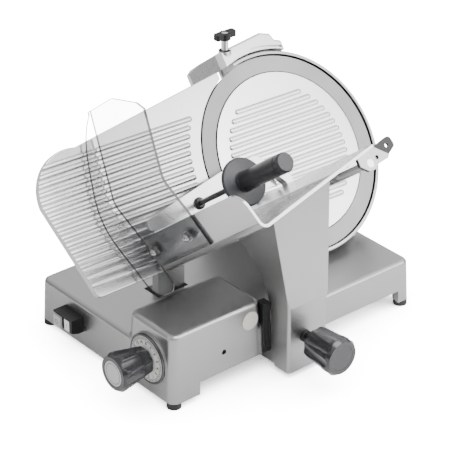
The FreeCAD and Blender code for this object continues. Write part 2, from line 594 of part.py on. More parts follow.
def make_pusher():
    shaft = rod(PUSHER_SHAFT_R, TRAY_FRONT - 8, Vec(PUSHER_SHAFT_A, PUSHER_SHAFT_B, 6), Z_AXIS)
    keep("pusher_shaft", in_blade_frame(shaft))
    # A lug under the floor holds each end of the shaft; the front one carries a rounded tab on its right.
    low = PUSHER_SHAFT_B - 10
    foot = [(PUSHER_SHAFT_A + 4, low, 0), (PUSHER_SHAFT_A - 6, low, 0), on_floor(-96, -12)]
    rear_lug = prism([on_floor(-96, 0), on_floor(-63, 0), on_floor(-52, 1), on_floor(-52, -14)] + foot,
                     Vec(0, 0, 4))
    rear_lug.translate(Vec(0, 0, 9))
    front_lug = prism([on_floor(-96, 0), on_floor(-63, 0), (-42, -64, 0), (-46, -68, 0), (-66, -71, 0)] + foot,
                      Vec(0, 0, 6))
    tab = prism([on_floor(-63, 0), on_floor(-29, 0.5), (-25, -55, 0), (-42, -64, 0), (-60, -60, 0)], Vec(0, 0, 4))
    tab = tab.makeFillet(6, edges_near(tab, lambda p, e: is_along(e, Z_AXIS) and p.x > -30))
    front_lug = front_lug.fuse(tab).removeSplitter()
    for a, b in LUG_HOLES:
        front_lug = front_lug.cut(rod(3, 10, Vec(a, b, -1), Z_AXIS))
    front_lug.translate(Vec(0, 0, TRAY_FRONT - 8))
    keep("shaft_lugs", [in_blade_frame(lug.cut(shaft)) for lug in (rear_lug, front_lug)])
    outline = [(-277, -84, 0), (-291, -34, 0), (-299, -29, 0), (-294, -16.4, 0), (-150, 8.9, 0), (-84, 14, 0),
               (-70, 4, 0), on_floor(-66, 7), on_floor(-262, 7)]
    plate = prism(outline, Vec(0, 0, PLATE_SHEET))
    rounded = edges_near(plate, lambda p, e: is_along(e, Z_AXIS) and (p.x < -293 or (p.x > -90 and p.y > 0)))
    plate = plate.makeFillet(5, rounded)
    bend = edges_near(plate, lambda p, e: is_along(e, Z_AXIS) and p.y < -60)
    plate = plate.makeFillet(7, bend)
    swing_room = rod(SWING_CLEAR_R, 3 * PLATE_SHEET, Vec(PUSHER_SHAFT_A, PUSHER_SHAFT_B, -PLATE_SHEET), Z_AXIS)
    plate = plate.cut(swing_room)
    plate.translate(Vec(0, 0, PLATE_BACK))
    keep("pusher_plate", in_blade_frame(plate))
    # The arm leaves the plate's right end, passes round the floor's right edge and ends in a boss on the shaft.
    arm_c = PLATE_BACK + PLATE_SHEET
    arm_path = [(-100, -8), (-62, -12), (-46, -34), (-50, -58), (PUSHER_SHAFT_A, PUSHER_SHAFT_B - 9)]
    under = [(PUSHER_SHAFT_A - 9, PUSHER_SHAFT_B), (PUSHER_SHAFT_A, PUSHER_SHAFT_B + 9), (-60, -57), (-59, -40),
             (-68, -27), (-100, -26)]
    arm = prism([(a, b, 0) for a, b in arm_path + under], Vec(0, 0, 14))
    boss = rod(11, 40, Vec(PUSHER_SHAFT_A, PUSHER_SHAFT_B, 0), Z_AXIS)
    floor_space = [on_floor(-120, -1.5), on_floor(-30, -1.5), on_floor(-30, 30), on_floor(-120, 30)]
    boss = boss.cut(prism(floor_space, Vec(0, 0, 60)))
    arm = fuse([arm, boss]).cut(rod(8 + RUNNING_GAP, 60, Vec(PUSHER_SHAFT_A, PUSHER_SHAFT_B, -5), Z_AXIS))
    arm.translate(Vec(0, 0, arm_c))
    keep("pusher_bush", in_blade_frame(ring(8, PUSHER_SHAFT_R + RUNNING_GAP, 40,
                                            Vec(PUSHER_SHAFT_A, PUSHER_SHAFT_B, arm_c), Z_AXIS)))
    keep("pusher_arm", in_blade_frame(arm))
    rod_start = Vec(HANDLE_A, HANDLE_B, arm_c)
    handle_rod = rod(4, FLANGE_C - arm_c + 100, rod_start, Z_AXIS)
    washer = turned([(0, 0), (9, 0), (9, 2), (6.5, 5), (0, 5)], rod_start, Z_AXIS)
    keep("handle_rod", in_blade_frame(handle_rod.fuse(washer).removeSplitter()))
    flange_profile = [(4, 0), (33, 0), (35, 2), (35, 4), (33, 6), (17, 8), (4, 8)]
    flange = turned(flange_profile, Vec(HANDLE_A, HANDLE_B, FLANGE_C), Z_AXIS)
    keep("handle_flange", in_blade_frame(flange))
    grip_length = GRIP_END - FLANGE_C - 8
    grip = turned([(0, 0), (15, 0), (15, 3), (14.3, 4), (14.3, grip_length - 3), (12.5, grip_length), (0, grip_length)],
                  Vec(HANDLE_A, HANDLE_B, FLANGE_C + 8), Z_AXIS)
    keep("handle_grip", in_blade_frame(grip.cut(handle_rod)))


def make_guard_and_bolts():
    guard = make_hand_guard()
    tray = NODES["product_tray"][0]
    bolts = []
    out = Vec(-1, WALL_SLOPE, 0).normalize()
    for c in GUARD_BOLTS:
        seat = Vec(wall_at(BOLT_HEIGHT), BOLT_HEIGHT, c) + out * GUARD_SHEET
        dome = [(0, 0), (9, 0), (9, 1.5), (6.2, 1.5), (6.2, 6), (5, 9), (2.5, 11), (0, 11.6)]
        bolt = turned(dome, seat, out).fuse(rod(2.5, GUARD_SHEET + TRAY_SHEET, seat, out * -1))
        inner_head = rod(5, 1.5, seat - out * (GUARD_SHEET + TRAY_SHEET), out * -1)
        bolts.append(in_blade_frame(bolt.fuse(inner_head).removeSplitter()))
    keep("guard_bolts", bolts)
    group = Part.makeCompound(bolts)
    keep("hand_guard", in_blade_frame(guard).cut(tray).cut(group))
    keep("product_tray", tray.cut(group))


# ---------------------------------------------------------------- blade, cover and guard ring, in the blade frame
RIB_PITCH = 11.7
RIB_RADIUS = 4.6            # a rib is a round bar sunk into its plate
RIB_HEIGHT = 2.6
RIB_CIRCLE = 104.0          # the cover's ribs end on this circle
SHAFT_BORE = 12.5
GUARD_BACK_C = -28.0
GUARD_FRONT_C = 3.0
PULLEY_C = -88.0
PULLEY_WIDTH = 14.0
BLADE_PULLEY_R = 40.0
MOTOR_PULLEY_R = 16.0
MOTOR_PLATE_C = -100.0
TIE_ROD_END = -188.0
TIE_ROD_RADIUS = 4.0
COVER_BOSS_C = -176.0       # seat of the cover's hand nut behind the body


def rib(start, end, surface):
    """A round-nosed rib between two (a, b) points, standing proud of a surface at height c."""
    sunk = surface + RIB_HEIGHT - RIB_RADIUS
    p = Vec(start[0], start[1], sunk)
    q = Vec(end[0], end[1], sunk)
    bar = rod(RIB_RADIUS, (q - p).Length, p, q - p)
    for centre in (p, q):
        bar = bar.fuse(Part.makeSphere(RIB_RADIUS, centre))
    return bar.common(box(-500, 300, -300, 300, surface - 2, surface + 5))


def make_blade():
    start = Vec(0, 0, 0)
    profile = [(10, -9.5), (134, -9.5), (149, -1.6), (150, 0), (148.5, -0.1), (126.2, -1.2), (126.2, -5.5),
               (10, -5.5)]
    blade = turned(profile, start, Z_AXIS)
    spindle = turned([(4.6, -102), (SHAFT_BORE, -102), (SHAFT_BORE, -15), (30, -15), (30, -9.5), (4.6, -9.5)],
                     start, Z_AXIS)
    screws = []
    for i in range(3):
        angle = math.radians(90 + 120 * i)
        at = Vec(21 * math.cos(angle), 21 * math.sin(angle), -5.5)
        screws.append(rod(5, 1.5, at, Z_AXIS).fuse(rod(3, 9, at, Z_AXIS * -1)).removeSplitter())
    group = Part.makeCompound(screws)
    keep("blade_screws", [in_blade_frame(s) for s in screws])
    keep("slicing_blade", in_blade_frame(blade.cut(group)))
    keep("blade_spindle", in_blade_frame(spindle.cut(group)))
    grooves = [(BLADE_PULLEY_R, PULLEY_C)]
    for i in range(4):
        low = PULLEY_C + 2 + 2.6 * i
        grooves += [(BLADE_PULLEY_R, low), (BLADE_PULLEY_R - 1.6, low + 1.3), (BLADE_PULLEY_R, low + 2.6)]
    grooves += [(BLADE_PULLEY_R, PULLEY_C + PULLEY_WIDTH)]
    wheel = turned([(SHAFT_BORE, PULLEY_C)] + grooves + [(SHAFT_BORE, PULLEY_C + PULLEY_WIDTH)], start, Z_AXIS)
    keep("blade_pulley", in_blade_frame(wheel))
    bearings = []
    for c in (-64, -46):
        inner = SHAFT_BORE + RUNNING_GAP
        end = c + 12
        profile = [(inner, c), (16.5, c), (16.5, c + 1), (20, c + 1), (20, c), (24, c),
                   (24, end), (20, end), (20, end - 1), (16.5, end - 1), (16.5, end), (inner, end)]
        bearings.append(in_blade_frame(turned(profile, start, Z_AXIS)))
    keep("spindle_bearings", bearings)


def make_cover():
    plate = rod(COVER_RADIUS, 3.3, Vec(0, 0, -3.5), Z_AXIS)
    boss = rod(8, 6, Vec(0, 0, -9), Z_AXIS)
    solid = plate.fuse(boss)
    slope = math.tan(math.radians(RIB_FALL))
    for i in range(-8, 9):
        height = RIB_PITCH * i
        if abs(height) > RIB_CIRCLE - 12:
            continue
        reach = math.sqrt(RIB_CIRCLE ** 2 - height ** 2) - RIB_RADIUS
        solid = solid.fuse(rib((-reach, height - reach * slope), (reach, height + reach * slope), -0.2))
    tie = rod(TIE_ROD_RADIUS, -5 - TIE_ROD_END, Vec(0, 0, TIE_ROD_END), Z_AXIS)
    keep("blade_cover", in_blade_frame(solid.removeSplitter().cut(tie)))
    keep("cover_tie_rod", in_blade_frame(tie))
    hand_nut = fluted_hand_nut(16, 18)
    hand_nut.translate(Vec(0, 0, COVER_BOSS_C - 18))
    thread = rod(TIE_ROD_RADIUS + RUNNING_GAP, 30, Vec(0, 0, TIE_ROD_END - 1), Z_AXIS)
    keep("cover_hand_nut", in_blade_frame(hand_nut.cut(thread)))


def fluted_hand_nut(radius, length):
    """A small round grip with eight finger flutes, standing on the plane c = 0."""
    profile = [(0, 0), (radius * 0.7, 0), (radius, 5), (radius, length - 3), (radius - 3, length), (0, length)]
    nut = turned(profile, Vec(0, 0, 0), Z_AXIS)
    flute_circle = radius + 2
    for i in range(8):
        angle = math.pi * i / 4
        at = Vec(flute_circle * math.cos(angle), flute_circle * math.sin(angle), -1)
        nut = nut.cut(rod(4, length - 4, at, Z_AXIS))
    return nut


def guard_sector(radius, c0, c1):
    """The wedge of the guard: from top left clockwise round the right side to bottom left."""
    first = math.radians(103)
    points = [(0, 0, c0)]
    for i in range(13):
        angle = first - math.radians(213) * i / 12
        points.append((radius * math.cos(angle), radius * math.sin(angle), c0))
    return prism(points, Vec(0, 0, c1 - c0))


def make_guard_ring():
    rim = ring(GUARD_RADIUS, 152.2, GUARD_FRONT_C - GUARD_BACK_C, Vec(0, 0, GUARD_BACK_C), Z_AXIS)
    outer_edge = edges_near(rim, lambda p, e: p.z > GUARD_FRONT_C - 0.1
                            and abs(math.hypot(p.x, p.y) - GUARD_RADIUS) < 0.5)
    rim = rim.makeFillet(2, outer_edge)
    back_edge = ring(155, 140, 4, Vec(0, 0, GUARD_BACK_C), Z_AXIS)
    solid = rim.fuse(back_edge).common(guard_sector(400, GUARD_BACK_C - 1, 4))
    disc = ring(146, 36, 4, Vec(0, 0, GUARD_BACK_C), Z_AXIS)
    solid = solid.fuse(disc).removeSplitter()
    bolts = []
    for angle in (35, -35, -145, 145):
        at = Vec(50 * math.cos(math.radians(angle)), 50 * math.sin(math.radians(angle)), GUARD_BACK_C + 4)
        bolts.append(m5_screw(at, Z_AXIS * -1))
    deck_space = base_box(0, 2 * BASE_LENGTH, 0, BASE_DEPTH, 0, BASE_TOP)
    keep("blade_guard_ring", in_blade_frame(solid.cut(Part.makeCompound(bolts))).cut(deck_space))
    return [in_blade_frame(bolt) for bolt in bolts]


# ---------------------------------------------------------------- the body behind the blade
BODY_LEFT = 292.0
BODY_RIGHT = 451.0
BODY_REAR = 304.0
BODY_WALL = 5.0
BODY_FRONT_C = -28.0
BODY_SPLIT_C = -66.0
BODY_TOP_B = 56.0
BODY_BOLTS = ((302.5, 126), (302.5, 150), (440.5, 126), (440.5, 150), (302.5, 286), (440.5, 286))


def body_block(inset):
    """The body's outside, or its hollow when inset by the wall."""
    tilt = math.radians(BLADE_TILT)

    c = BODY_FRONT_C - inset
    low_b = (BASE_TOP - BLADE_CENTRE_Z - c * math.sin(tilt)) / math.cos(tilt)
    x = BODY_LEFT + inset
    p0 = Vec(LEFT + x, *blade_point(0, low_b, c)[1:])
    p1 = Vec(LEFT + x, *blade_point(0, BODY_TOP_B - inset, c)[1:])
    middle = base_point(x, 281 - 0.7 * inset, 226 - 0.7 * inset)
    p2 = base_point(x, BODY_REAR - inset, 165)
    p3 = base_point(x, BODY_REAR - inset, BASE_TOP)
    edges = [Part.makeLine(p0, p1), Part.Arc(p1, middle, p2).toShape(), Part.makeLine(p2, p3),
             Part.makeLine(p3, p0)]
    solid = Part.Face(Part.Wire(edges)).extrude(X_AXIS * (BODY_RIGHT - BODY_LEFT - 2 * inset))
    return solid


def rounded_sides(block, radius):
    """A body block with the long edges of its two sides rounded."""
    half = (BODY_RIGHT - BODY_LEFT) / 2
    middle = LEFT + BODY_LEFT + half
    on_sides = edges_near(block, lambda p, e: p.z > BASE_TOP + 20 and abs(p.x - middle) > half - BODY_WALL - 1)
    return block.makeFillet(radius, on_sides)


def make_body(guard_bolts):
    """The support casting in front and the rear cover behind it, split on one plane; returns their screws."""
    outer = rounded_sides(body_block(0), 14)
    inner = rounded_sides(body_block(BODY_WALL), 9)
    shell = outer.cut(inner)
    for x, y in BODY_BOLTS:
        shell = shell.fuse(rod(7, 20, base_point(x, y, BASE_TOP), Z_AXIS).common(outer))
    shell = shell.removeSplitter()
    bolts = [m5_screw(base_point(x, y, DECK_UNDERSIDE), Z_AXIS) for x, y in BODY_BOLTS]
    front_half = in_blade_frame(box(-300, 300, -400, 300, BODY_SPLIT_C, 10))
    rear_half = in_blade_frame(box(-300, 300, -400, 300, -400, BODY_SPLIT_C))
    wall = rod(60, 7, Vec(0, 0, BODY_FRONT_C - 7), Z_AXIS).common(box(-90, 90, -90, BODY_TOP_B - 4, -50, 0))
    hub = rod(32, BODY_FRONT_C - BODY_SPLIT_C, Vec(0, 0, BODY_SPLIT_C), Z_AXIS)
    post_top = BODY_FRONT_C - 2
    post_foot = MOTOR_PLATE_C + MOTOR_PLATE_SHEET
    posts = [rod(5, post_top - post_foot, Vec(a, b, post_foot), Z_AXIS) for a, b in MOTOR_POSTS]
    inside_parts = [in_blade_frame(shape).common(outer) for shape in [wall, hub] + posts]
    casting = fuse([shell.common(front_half)] + inside_parts)
    bearing_space = rod(24, 33, Vec(0, 0, BODY_SPLIT_C - 1), Z_AXIS)
    spindle_space = rod(16, 60, Vec(0, 0, BODY_SPLIT_C - 1), Z_AXIS)
    post_hole = rod(SHARPENER_POST_R, 60, Vec(SHARPENER_POST_A, SHARPENER_POST_FOOT, SHARPENER_POST_C), Y_AXIS)
    group = Part.makeCompound(bolts + guard_bolts + motor_screws())
    casting = cut(casting, [in_blade_frame(t) for t in (bearing_space, spindle_space, post_hole)] + [group])
    keep("blade_support", casting)
    boss = in_blade_frame(rod(13, 30, Vec(0, 0, COVER_BOSS_C), Z_AXIS))
    cover = shell.common(rear_half).fuse(boss.cut(inner)).removeSplitter()
    cover = cover.cut(group).cut(in_blade_frame(rod(TIE_ROD_RADIUS, 200, Vec(0, 0, -220), Z_AXIS)))
    keep("rear_cover", cover)
    return bolts


# ---------------------------------------------------------------- motor and belt, in the blade frame
MOTOR_LENGTH = 62.0
MOTOR_PLATE_SHEET = 5.0
MOTOR_SHAFT_R = 7.0
MOTOR_POSTS = ((-50, 24), (-50, -92), (50, 24), (50, -92))


def belt_loop(grow, c0, c1):
    """The space inside a belt that runs round both pulleys, grown outwards."""
    along = math.atan2(MOTOR_B, MOTOR_A)
    spread = math.acos((BLADE_PULLEY_R - MOTOR_PULLEY_R) / math.hypot(MOTOR_A, MOTOR_B))

    def on_pulley(a, b, radius, angle):
        reach = radius + grow
        return Vec(a + reach * math.cos(angle), b + reach * math.sin(angle), c0)

    big_angles = (along + spread, along + math.pi, along - spread)
    small_angles = (along - spread, along, along + spread)
    big = [on_pulley(0, 0, BLADE_PULLEY_R, t) for t in big_angles]
    small = [on_pulley(MOTOR_A, MOTOR_B, MOTOR_PULLEY_R, t) for t in small_angles]
    wire = Part.Wire([Part.Arc(*big).toShape(), Part.makeLine(big[2], small[0]), Part.Arc(*small).toShape(),
                      Part.makeLine(small[2], big[0])])
    return Part.Face(wire).extrude(Vec(0, 0, c1 - c0))


def motor_screws():
    """The four screws that hold the motor plate on its posts."""
    return [in_blade_frame(m5_screw(Vec(a, b, MOTOR_PLATE_C), Z_AXIS)) for a, b in MOTOR_POSTS]


def make_drive():
    at = Vec(MOTOR_A, MOTOR_B, 0)
    rear = MOTOR_PLATE_C - MOTOR_LENGTH
    can = turned([(0, rear), (38, rear), (MOTOR_RADIUS, rear + 4), (MOTOR_RADIUS, MOTOR_PLATE_C - 6),
                  (38, MOTOR_PLATE_C), (0, MOTOR_PLATE_C)], at, Z_AXIS)
    shaft_start = at + Vec(0, 0, MOTOR_PLATE_C - 10)
    shaft = rod(MOTOR_SHAFT_R, PULLEY_C + PULLEY_WIDTH + 14 - MOTOR_PLATE_C, shaft_start, Z_AXIS)
    shaft_space = rod(MOTOR_SHAFT_R + RUNNING_GAP, 40, shaft_start - Vec(0, 0, 1), Z_AXIS)
    plate = box(-56, 56, -104, 32, MOTOR_PLATE_C, MOTOR_PLATE_C + MOTOR_PLATE_SHEET)
    plate = cut(plate, [rod(15, 40, at + Vec(0, 0, -110), Z_AXIS), rod(22, 40, Vec(0, 0, -110), Z_AXIS)])
    keep("motor_plate", in_blade_frame(plate).cut(Part.makeCompound(motor_screws())))
    keep("motor", in_blade_frame(can.cut(shaft_space)))
    wheel = rod(MOTOR_PULLEY_R, PULLEY_WIDTH, at + Vec(0, 0, PULLEY_C), Z_AXIS)
    keep("motor_pulley", in_blade_frame(wheel.fuse(shaft).removeSplitter()))
    belt = belt_loop(3.0, PULLEY_C + 1, PULLEY_C + PULLEY_WIDTH - 1)
    belt = belt.cut(belt_loop(RUNNING_GAP, PULLEY_C, PULLEY_C + PULLEY_WIDTH))
    keep("drive_belt", in_blade_frame(belt))


# ---------------------------------------------------------------- gauge plate and its carriage
GAUGE_FACE = -1.0
GAUGE_SHEET = 8.0
GAUGE_CLEARANCE = 2.0       # between the gauge plate's arc and the blade's edge
GAUGE_RIBS = 16
TOP_RIB_B = 101.0
GAUGE_RIB_CIRCLE = 170.0    # the gauge plate's ribs end on this circle round the blade's centre
GAUGE_GUIDE_X = 125.0
LINK_LEFT = 72.0            # the arm from the sliding block to the cam's follower
LINK_WIDTH = 6.0


def gauge_outline(c):
    """The plate's outline: straight bottom, leaning left edge, big top left corner, rising top edge."""
    bottom_left = Vec(-391, -91, c)
    left_low = Vec(-399, -79, c)
    left_high = Vec(-425, 52, c)
    top_left = Vec(-338, 117.5, c)
    top_right = Vec(-64, 149.6, c)
    bottom_right = Vec(-64, -91, c)
    edges = [
        Part.Arc(bottom_left, Vec(-397.5, -86.5, c), left_low).toShape(),
        Part.makeLine(left_low, left_high),
        Part.Arc(left_high, Vec(-406, 99, c), top_left).toShape(),
        Part.makeLine(top_left, top_right),
        Part.makeLine(top_right, bottom_right),
        Part.makeLine(bottom_right, bottom_left),
    ]
    return Part.Wire(edges)


def make_gauge():
    back = GAUGE_FACE - GAUGE_SHEET
    solid = Part.Face(gauge_outline(back)).extrude(Vec(0, 0, GAUGE_SHEET))
    front_edges = edges_near(solid, lambda p, e: p.z > GAUGE_FACE - 0.01 and p.x < -65)
    solid = solid.makeFillet(1.5, front_edges)
    around_blade = rod(BLADE_RADIUS + GAUGE_CLEARANCE, 60, Vec(0, 0, -40), Z_AXIS)
    solid = solid.cut(around_blade)
    slope = math.tan(math.radians(RIB_FALL))
    inside = Part.Face(gauge_outline(back)).extrude(Vec(0, 0, GAUGE_SHEET + 6))
    for i in range(GAUGE_RIBS):
        height = TOP_RIB_B - RIB_PITCH * i
        left = -430
        right = -math.sqrt(GAUGE_RIB_CIRCLE ** 2 - height ** 2) - RIB_RADIUS
        bar = rib((left, height + (left + 250) * slope), (right, height + (right + 250) * slope), GAUGE_FACE)
        solid = solid.fuse(bar.common(inside))
    solid = solid.removeSplitter()
    screws = []
    for a in (POST_LEFT - BLADE_CENTRE_X - 6, POST_RIGHT - BLADE_CENTRE_X + 6):
        for b in (-42, -2):
            screws.append(in_blade_frame(screw(4, 3, 2, 10, Vec(a, b, back - 6), Z_AXIS)))
    group = Part.makeCompound(screws)
    keep("gauge_plate_screws", screws)
    keep("gauge_plate", in_blade_frame(solid).cut(group))
    make_gauge_carriage(back, group)


def gauge_guide():
    """The shaft the gauge carriage slides on."""
    return rod(7, 72, base_point(GAUGE_GUIDE_X, 165, 45) - SLIDE_BACK * 31, SLIDE_BACK)


def make_gauge_carriage(plate_back, screws):
    """Post, flange, sliding block and the link to the cam, cast in one piece; and its follower pin."""
    post_back = POST_FRONT + POST_THICKNESS
    post = base_box(POST_LEFT, POST_RIGHT, POST_FRONT, post_back, 33, 230)
    post = post.cut(in_blade_frame(box(-400, 0, -300, 300, plate_back, 100)))
    left = POST_LEFT - BLADE_CENTRE_X
    right = POST_RIGHT - BLADE_CENTRE_X
    flange = in_blade_frame(box(left - 12, right + 12, -48, 4, plate_back - 6, plate_back))
    block = base_box(LINK_LEFT, POST_RIGHT, POST_FRONT - 6, post_back + 6, 33, 58)
    follower = knob_axis(0) + SLIDE_BACK * (CAM_START + FOLLOWER_RADIUS + 0.4)
    link = prism([(0, KNOB_Y + 5, KNOB_Z - 17), (0, KNOB_Y + 24, KNOB_Z - 17), (0, POST_FRONT - 5, 52),
                  (0, POST_FRONT - 5, 38), (0, KNOB_Y + 16, KNOB_Z - 27)], X_AXIS * LINK_WIDTH)
    link.translate(base_point(LINK_LEFT, 0, 0))
    eye = rod(7, LINK_WIDTH, follower + X_AXIS * LINK_LEFT, X_AXIS)
    pin = rod(3, LINK_LEFT + LINK_WIDTH - CAM_LEFT, follower + X_AXIS * CAM_LEFT, X_AXIS)
    pin = pin.fuse(rod(FOLLOWER_RADIUS, CAM_WIDTH, follower + X_AXIS * CAM_LEFT, X_AXIS)).removeSplitter()
    shaft = gauge_guide()
    bore = rod(7 + RUNNING_GAP, 90, base_point(GAUGE_GUIDE_X, 165, 45) - SLIDE_BACK * 40, SLIDE_BACK)
    keep("gauge_carriage", cut(fuse([post, flange, block, link, eye]), [bore, pin, screws]))
    keep("cam_follower", pin)
    keep("gauge_shaft", shaft)


# ---------------------------------------------------------------- sharpener on top of the guard ring
HOOD_LEFT = -78.0
HOOD_RIGHT = 61.0
HOOD_BACK = -58.0
HOOD_FRONT = 8.0
STEM_A = -40.0
SHARPENER_POST_A = -22.0
SHARPENER_POST_C = -46.0
SHARPENER_POST_R = 7.0
SHARPENER_POST_FOOT = 31.0
STEM_RADIUS = 5.5
STONE_RADIUS = 6.5
STONE_B = 166.5


def make_hood():
    """The hood's outside: its top rises to a hump, its left end is cut away by a slanting panel."""
    outline = [(HOOD_LEFT, 148), (HOOD_LEFT, 165), (-68, 171), (-50, 175), (29, 183), (46, 177), (50, 166),
               (HOOD_RIGHT, 162), (HOOD_RIGHT, 147)]
    hood = prism([(a, b, HOOD_BACK) for a, b in outline], Vec(0, 0, HOOD_FRONT - HOOD_BACK))
    hood = hood.makeFillet(4, edges_near(hood, lambda p, e: is_along(e, Z_AXIS) and p.y > 152))
    plan = [(HOOD_LEFT - 1, HOOD_BACK + 6), (-50, -10), (-50, HOOD_FRONT + 1), (HOOD_LEFT - 1, HOOD_FRONT + 1)]
    hood = hood.cut(prism([(a, 140, c) for a, c in plan], Y_AXIS * 60))
    front_rim = edges_near(hood, lambda p, e: abs(p.z - HOOD_FRONT) < 0.01 and p.y > 152 and -48 < p.x < 60)
    return hood.makeFillet(3.5, front_rim)


def make_sharpener():
    hood = make_hood()
    ring_space = rod(GUARD_RADIUS + 1.5, 100, Vec(0, 0, -80), Z_AXIS)
    hood = hood.cut(ring_space)
    slot = ring(GUARD_RADIUS + 7, GUARD_RADIUS + 4, 8, Vec(0, 0, HOOD_FRONT - 5), Z_AXIS)
    slot = slot.common(box(2, 59, 100, 200, -20, 30))
    pocket = box(-30, 34, 140, 173, -36, -3)
    post_bore = rod(SHARPENER_POST_R + RUNNING_GAP, 32, Vec(SHARPENER_POST_A, 139, SHARPENER_POST_C), Y_AXIS)
    stones = []
    for a, pin_end in ((-15, HOOD_FRONT - 5), (17, -42)):
        centre_c = -19.5 + 4 * (1 if pin_end > 0 else -1)
        wheel = rod(STONE_RADIUS, 5, Vec(a, STONE_B, centre_c - 2.5), Z_AXIS)
        low = min(centre_c, pin_end)
        pin = rod(2.5, abs(pin_end - centre_c), Vec(a, STONE_B, low), Z_AXIS)
        stones.append(wheel.fuse(pin).removeSplitter())
    hood = cut(hood, [slot, pocket, post_bore] + stones)
    keep("sharpening_stones", [in_blade_frame(stone) for stone in stones])
    post_length = 170 - SHARPENER_POST_FOOT
    post = rod(SHARPENER_POST_R, post_length, Vec(SHARPENER_POST_A, SHARPENER_POST_FOOT, SHARPENER_POST_C), Y_AXIS)
    keep("sharpener_post", in_blade_frame(post))
    stem_foot = blade_point(STEM_A, 169, 0)
    stem = rod(STEM_RADIUS, 38, stem_foot - Z_AXIS * 2, Z_AXIS)
    boss = rod(9.5, 20, stem_foot - Z_AXIS * 12, Z_AXIS).fuse(Part.makeSphere(9.5, stem_foot - Z_AXIS * 12))
    boss = cut(boss, [in_blade_frame(pocket), in_blade_frame(ring_space)])
    keep("sharpener_housing", in_blade_frame(hood).fuse(boss).removeSplitter().cut(stem))
    keep("sharpener_stem", stem)
    knob_base = stem_foot + Z_AXIS * 26
    wing = box(-18, 18, -6, 6, 2, 11)
    wing = wing.makeFillet(3, edges_near(wing, lambda p, e: is_along(e, Z_AXIS)))
    wing.translate(knob_base)
    bore = rod(STEM_RADIUS + RUNNING_GAP, 60, stem_foot, Z_AXIS)
    keep("sharpener_knob", rod(9, 10, knob_base, Z_AXIS).fuse(wing).removeSplitter().cut(bore))


# ---------------------------------------------------------------- cable gland at the rear
GLAND_X = 60.0
GLAND_Z = 40.0
GLAND_RADIUS = 8.0


def make_cable_gland():
    at = base_point(GLAND_X, BASE_DEPTH - 7.5, GLAND_Z)
    profile = [(4, 0), (GLAND_RADIUS, 0), (GLAND_RADIUS, 4), (12, 4), (12, 12), (7, 26), (4, 26)]
    gland = turned(profile, at, Y_AXIS).cut(BASE)
    keep("cable_gland", max(gland.Solids, key=lambda s: s.Volume))


# ---------------------------------------------------------------- the whole object
BASE = make_base_casting()
make_feet()
make_thickness_control()
make_switch()
make_front_face_details()
make_carriage_guides()
make_carriage()
make_pusher()
make_guard_and_bolts()
make_blade()
make_cover()
ring_bolts = make_guard_ring()
body_bolts = make_body(ring_bolts)
make_drive()
make_gauge()
make_sharpener()
make_cable_gland()
keep("socket_screws", ring_bolts + body_bolts + motor_screws())
keep("base_casting", BASE.cut(Part.makeCompound(NODES["rubber_feet"] + body_bolts)))

os.makedirs("parts", exist_ok=True)
for name, solids in NODES.items():
    solids = [s for shape in solids for s in shape.Solids]
    for solid in solids:
        if not solid.isValid():
            print("invalid solid in", name)
    print(name, len(solids), round(sum(s.Volume for s in solids) / 1000, 1))
    shape = solids[0] if len(solids) == 1 else Part.makeCompound(solids)
    shape.exportStep("parts/%s.step" % name)
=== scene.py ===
import bpy
import json
import math
from mathutils import Matrix, Vector


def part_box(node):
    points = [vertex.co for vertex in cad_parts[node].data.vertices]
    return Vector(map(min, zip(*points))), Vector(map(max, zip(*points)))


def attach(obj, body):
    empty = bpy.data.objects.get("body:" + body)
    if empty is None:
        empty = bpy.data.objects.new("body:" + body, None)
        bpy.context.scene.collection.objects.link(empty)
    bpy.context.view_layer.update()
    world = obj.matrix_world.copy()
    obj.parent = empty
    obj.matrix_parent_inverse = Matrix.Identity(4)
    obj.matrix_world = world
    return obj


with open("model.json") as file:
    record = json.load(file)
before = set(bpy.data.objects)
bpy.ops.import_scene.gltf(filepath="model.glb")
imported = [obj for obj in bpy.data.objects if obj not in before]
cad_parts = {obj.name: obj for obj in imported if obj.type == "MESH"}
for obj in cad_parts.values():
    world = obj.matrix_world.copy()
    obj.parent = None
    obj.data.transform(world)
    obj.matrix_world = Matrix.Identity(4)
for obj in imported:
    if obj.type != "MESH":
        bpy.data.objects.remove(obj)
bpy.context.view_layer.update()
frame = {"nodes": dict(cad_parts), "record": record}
NODES = frame["nodes"]
JOINTS = {joint["name"]: joint for joint in frame["record"]["behaviour"]["joints"]}
MM = 0.001

# The blade's own frame: a to the right, b up the blade's plane, c out of it towards the operator.
OUT = Vector(JOINTS["blade_spin"]["axis"]).normalized()
RIGHT = Vector((1, 0, 0))
UP = OUT.cross(RIGHT).normalized()
BLADE_FACE = 5.0            # from the spin joint's point out to the blade's face
CENTRE = Vector(JOINTS["blade_spin"]["pos_m"]) + OUT * BLADE_FACE * MM
KNOB_AXIS = Vector(JOINTS["thickness_knob_turn"]["pos_m"])


def at_blade(a, b, c):
    """A point of the blade's frame, given in millimetres."""
    return CENTRE + (RIGHT * a + UP * b + OUT * c) * MM


BLADE_TURN = Matrix((RIGHT, UP, OUT)).transposed().to_4x4()


# ---------------------------------------------------------------- materials
BLAST_DEPTH = 0.02 * MM     # relief of a bead-blasted casting
BRUSH_DEPTH = 0.01 * MM     # relief of brushing and turning lines
EDGE_HIGHLIGHT_GAIN = 0.05        # how much lighter a plastic's edges are painted, as a painted highlight
FLANGE_DEPTH = 9.2 * MM     # the guard's bolted flange lies below this, out from the blade's face
DIAL_LINE_RADIUS = 33.2 * MM
CAP_RING_RADIUS = 15.2 * MM


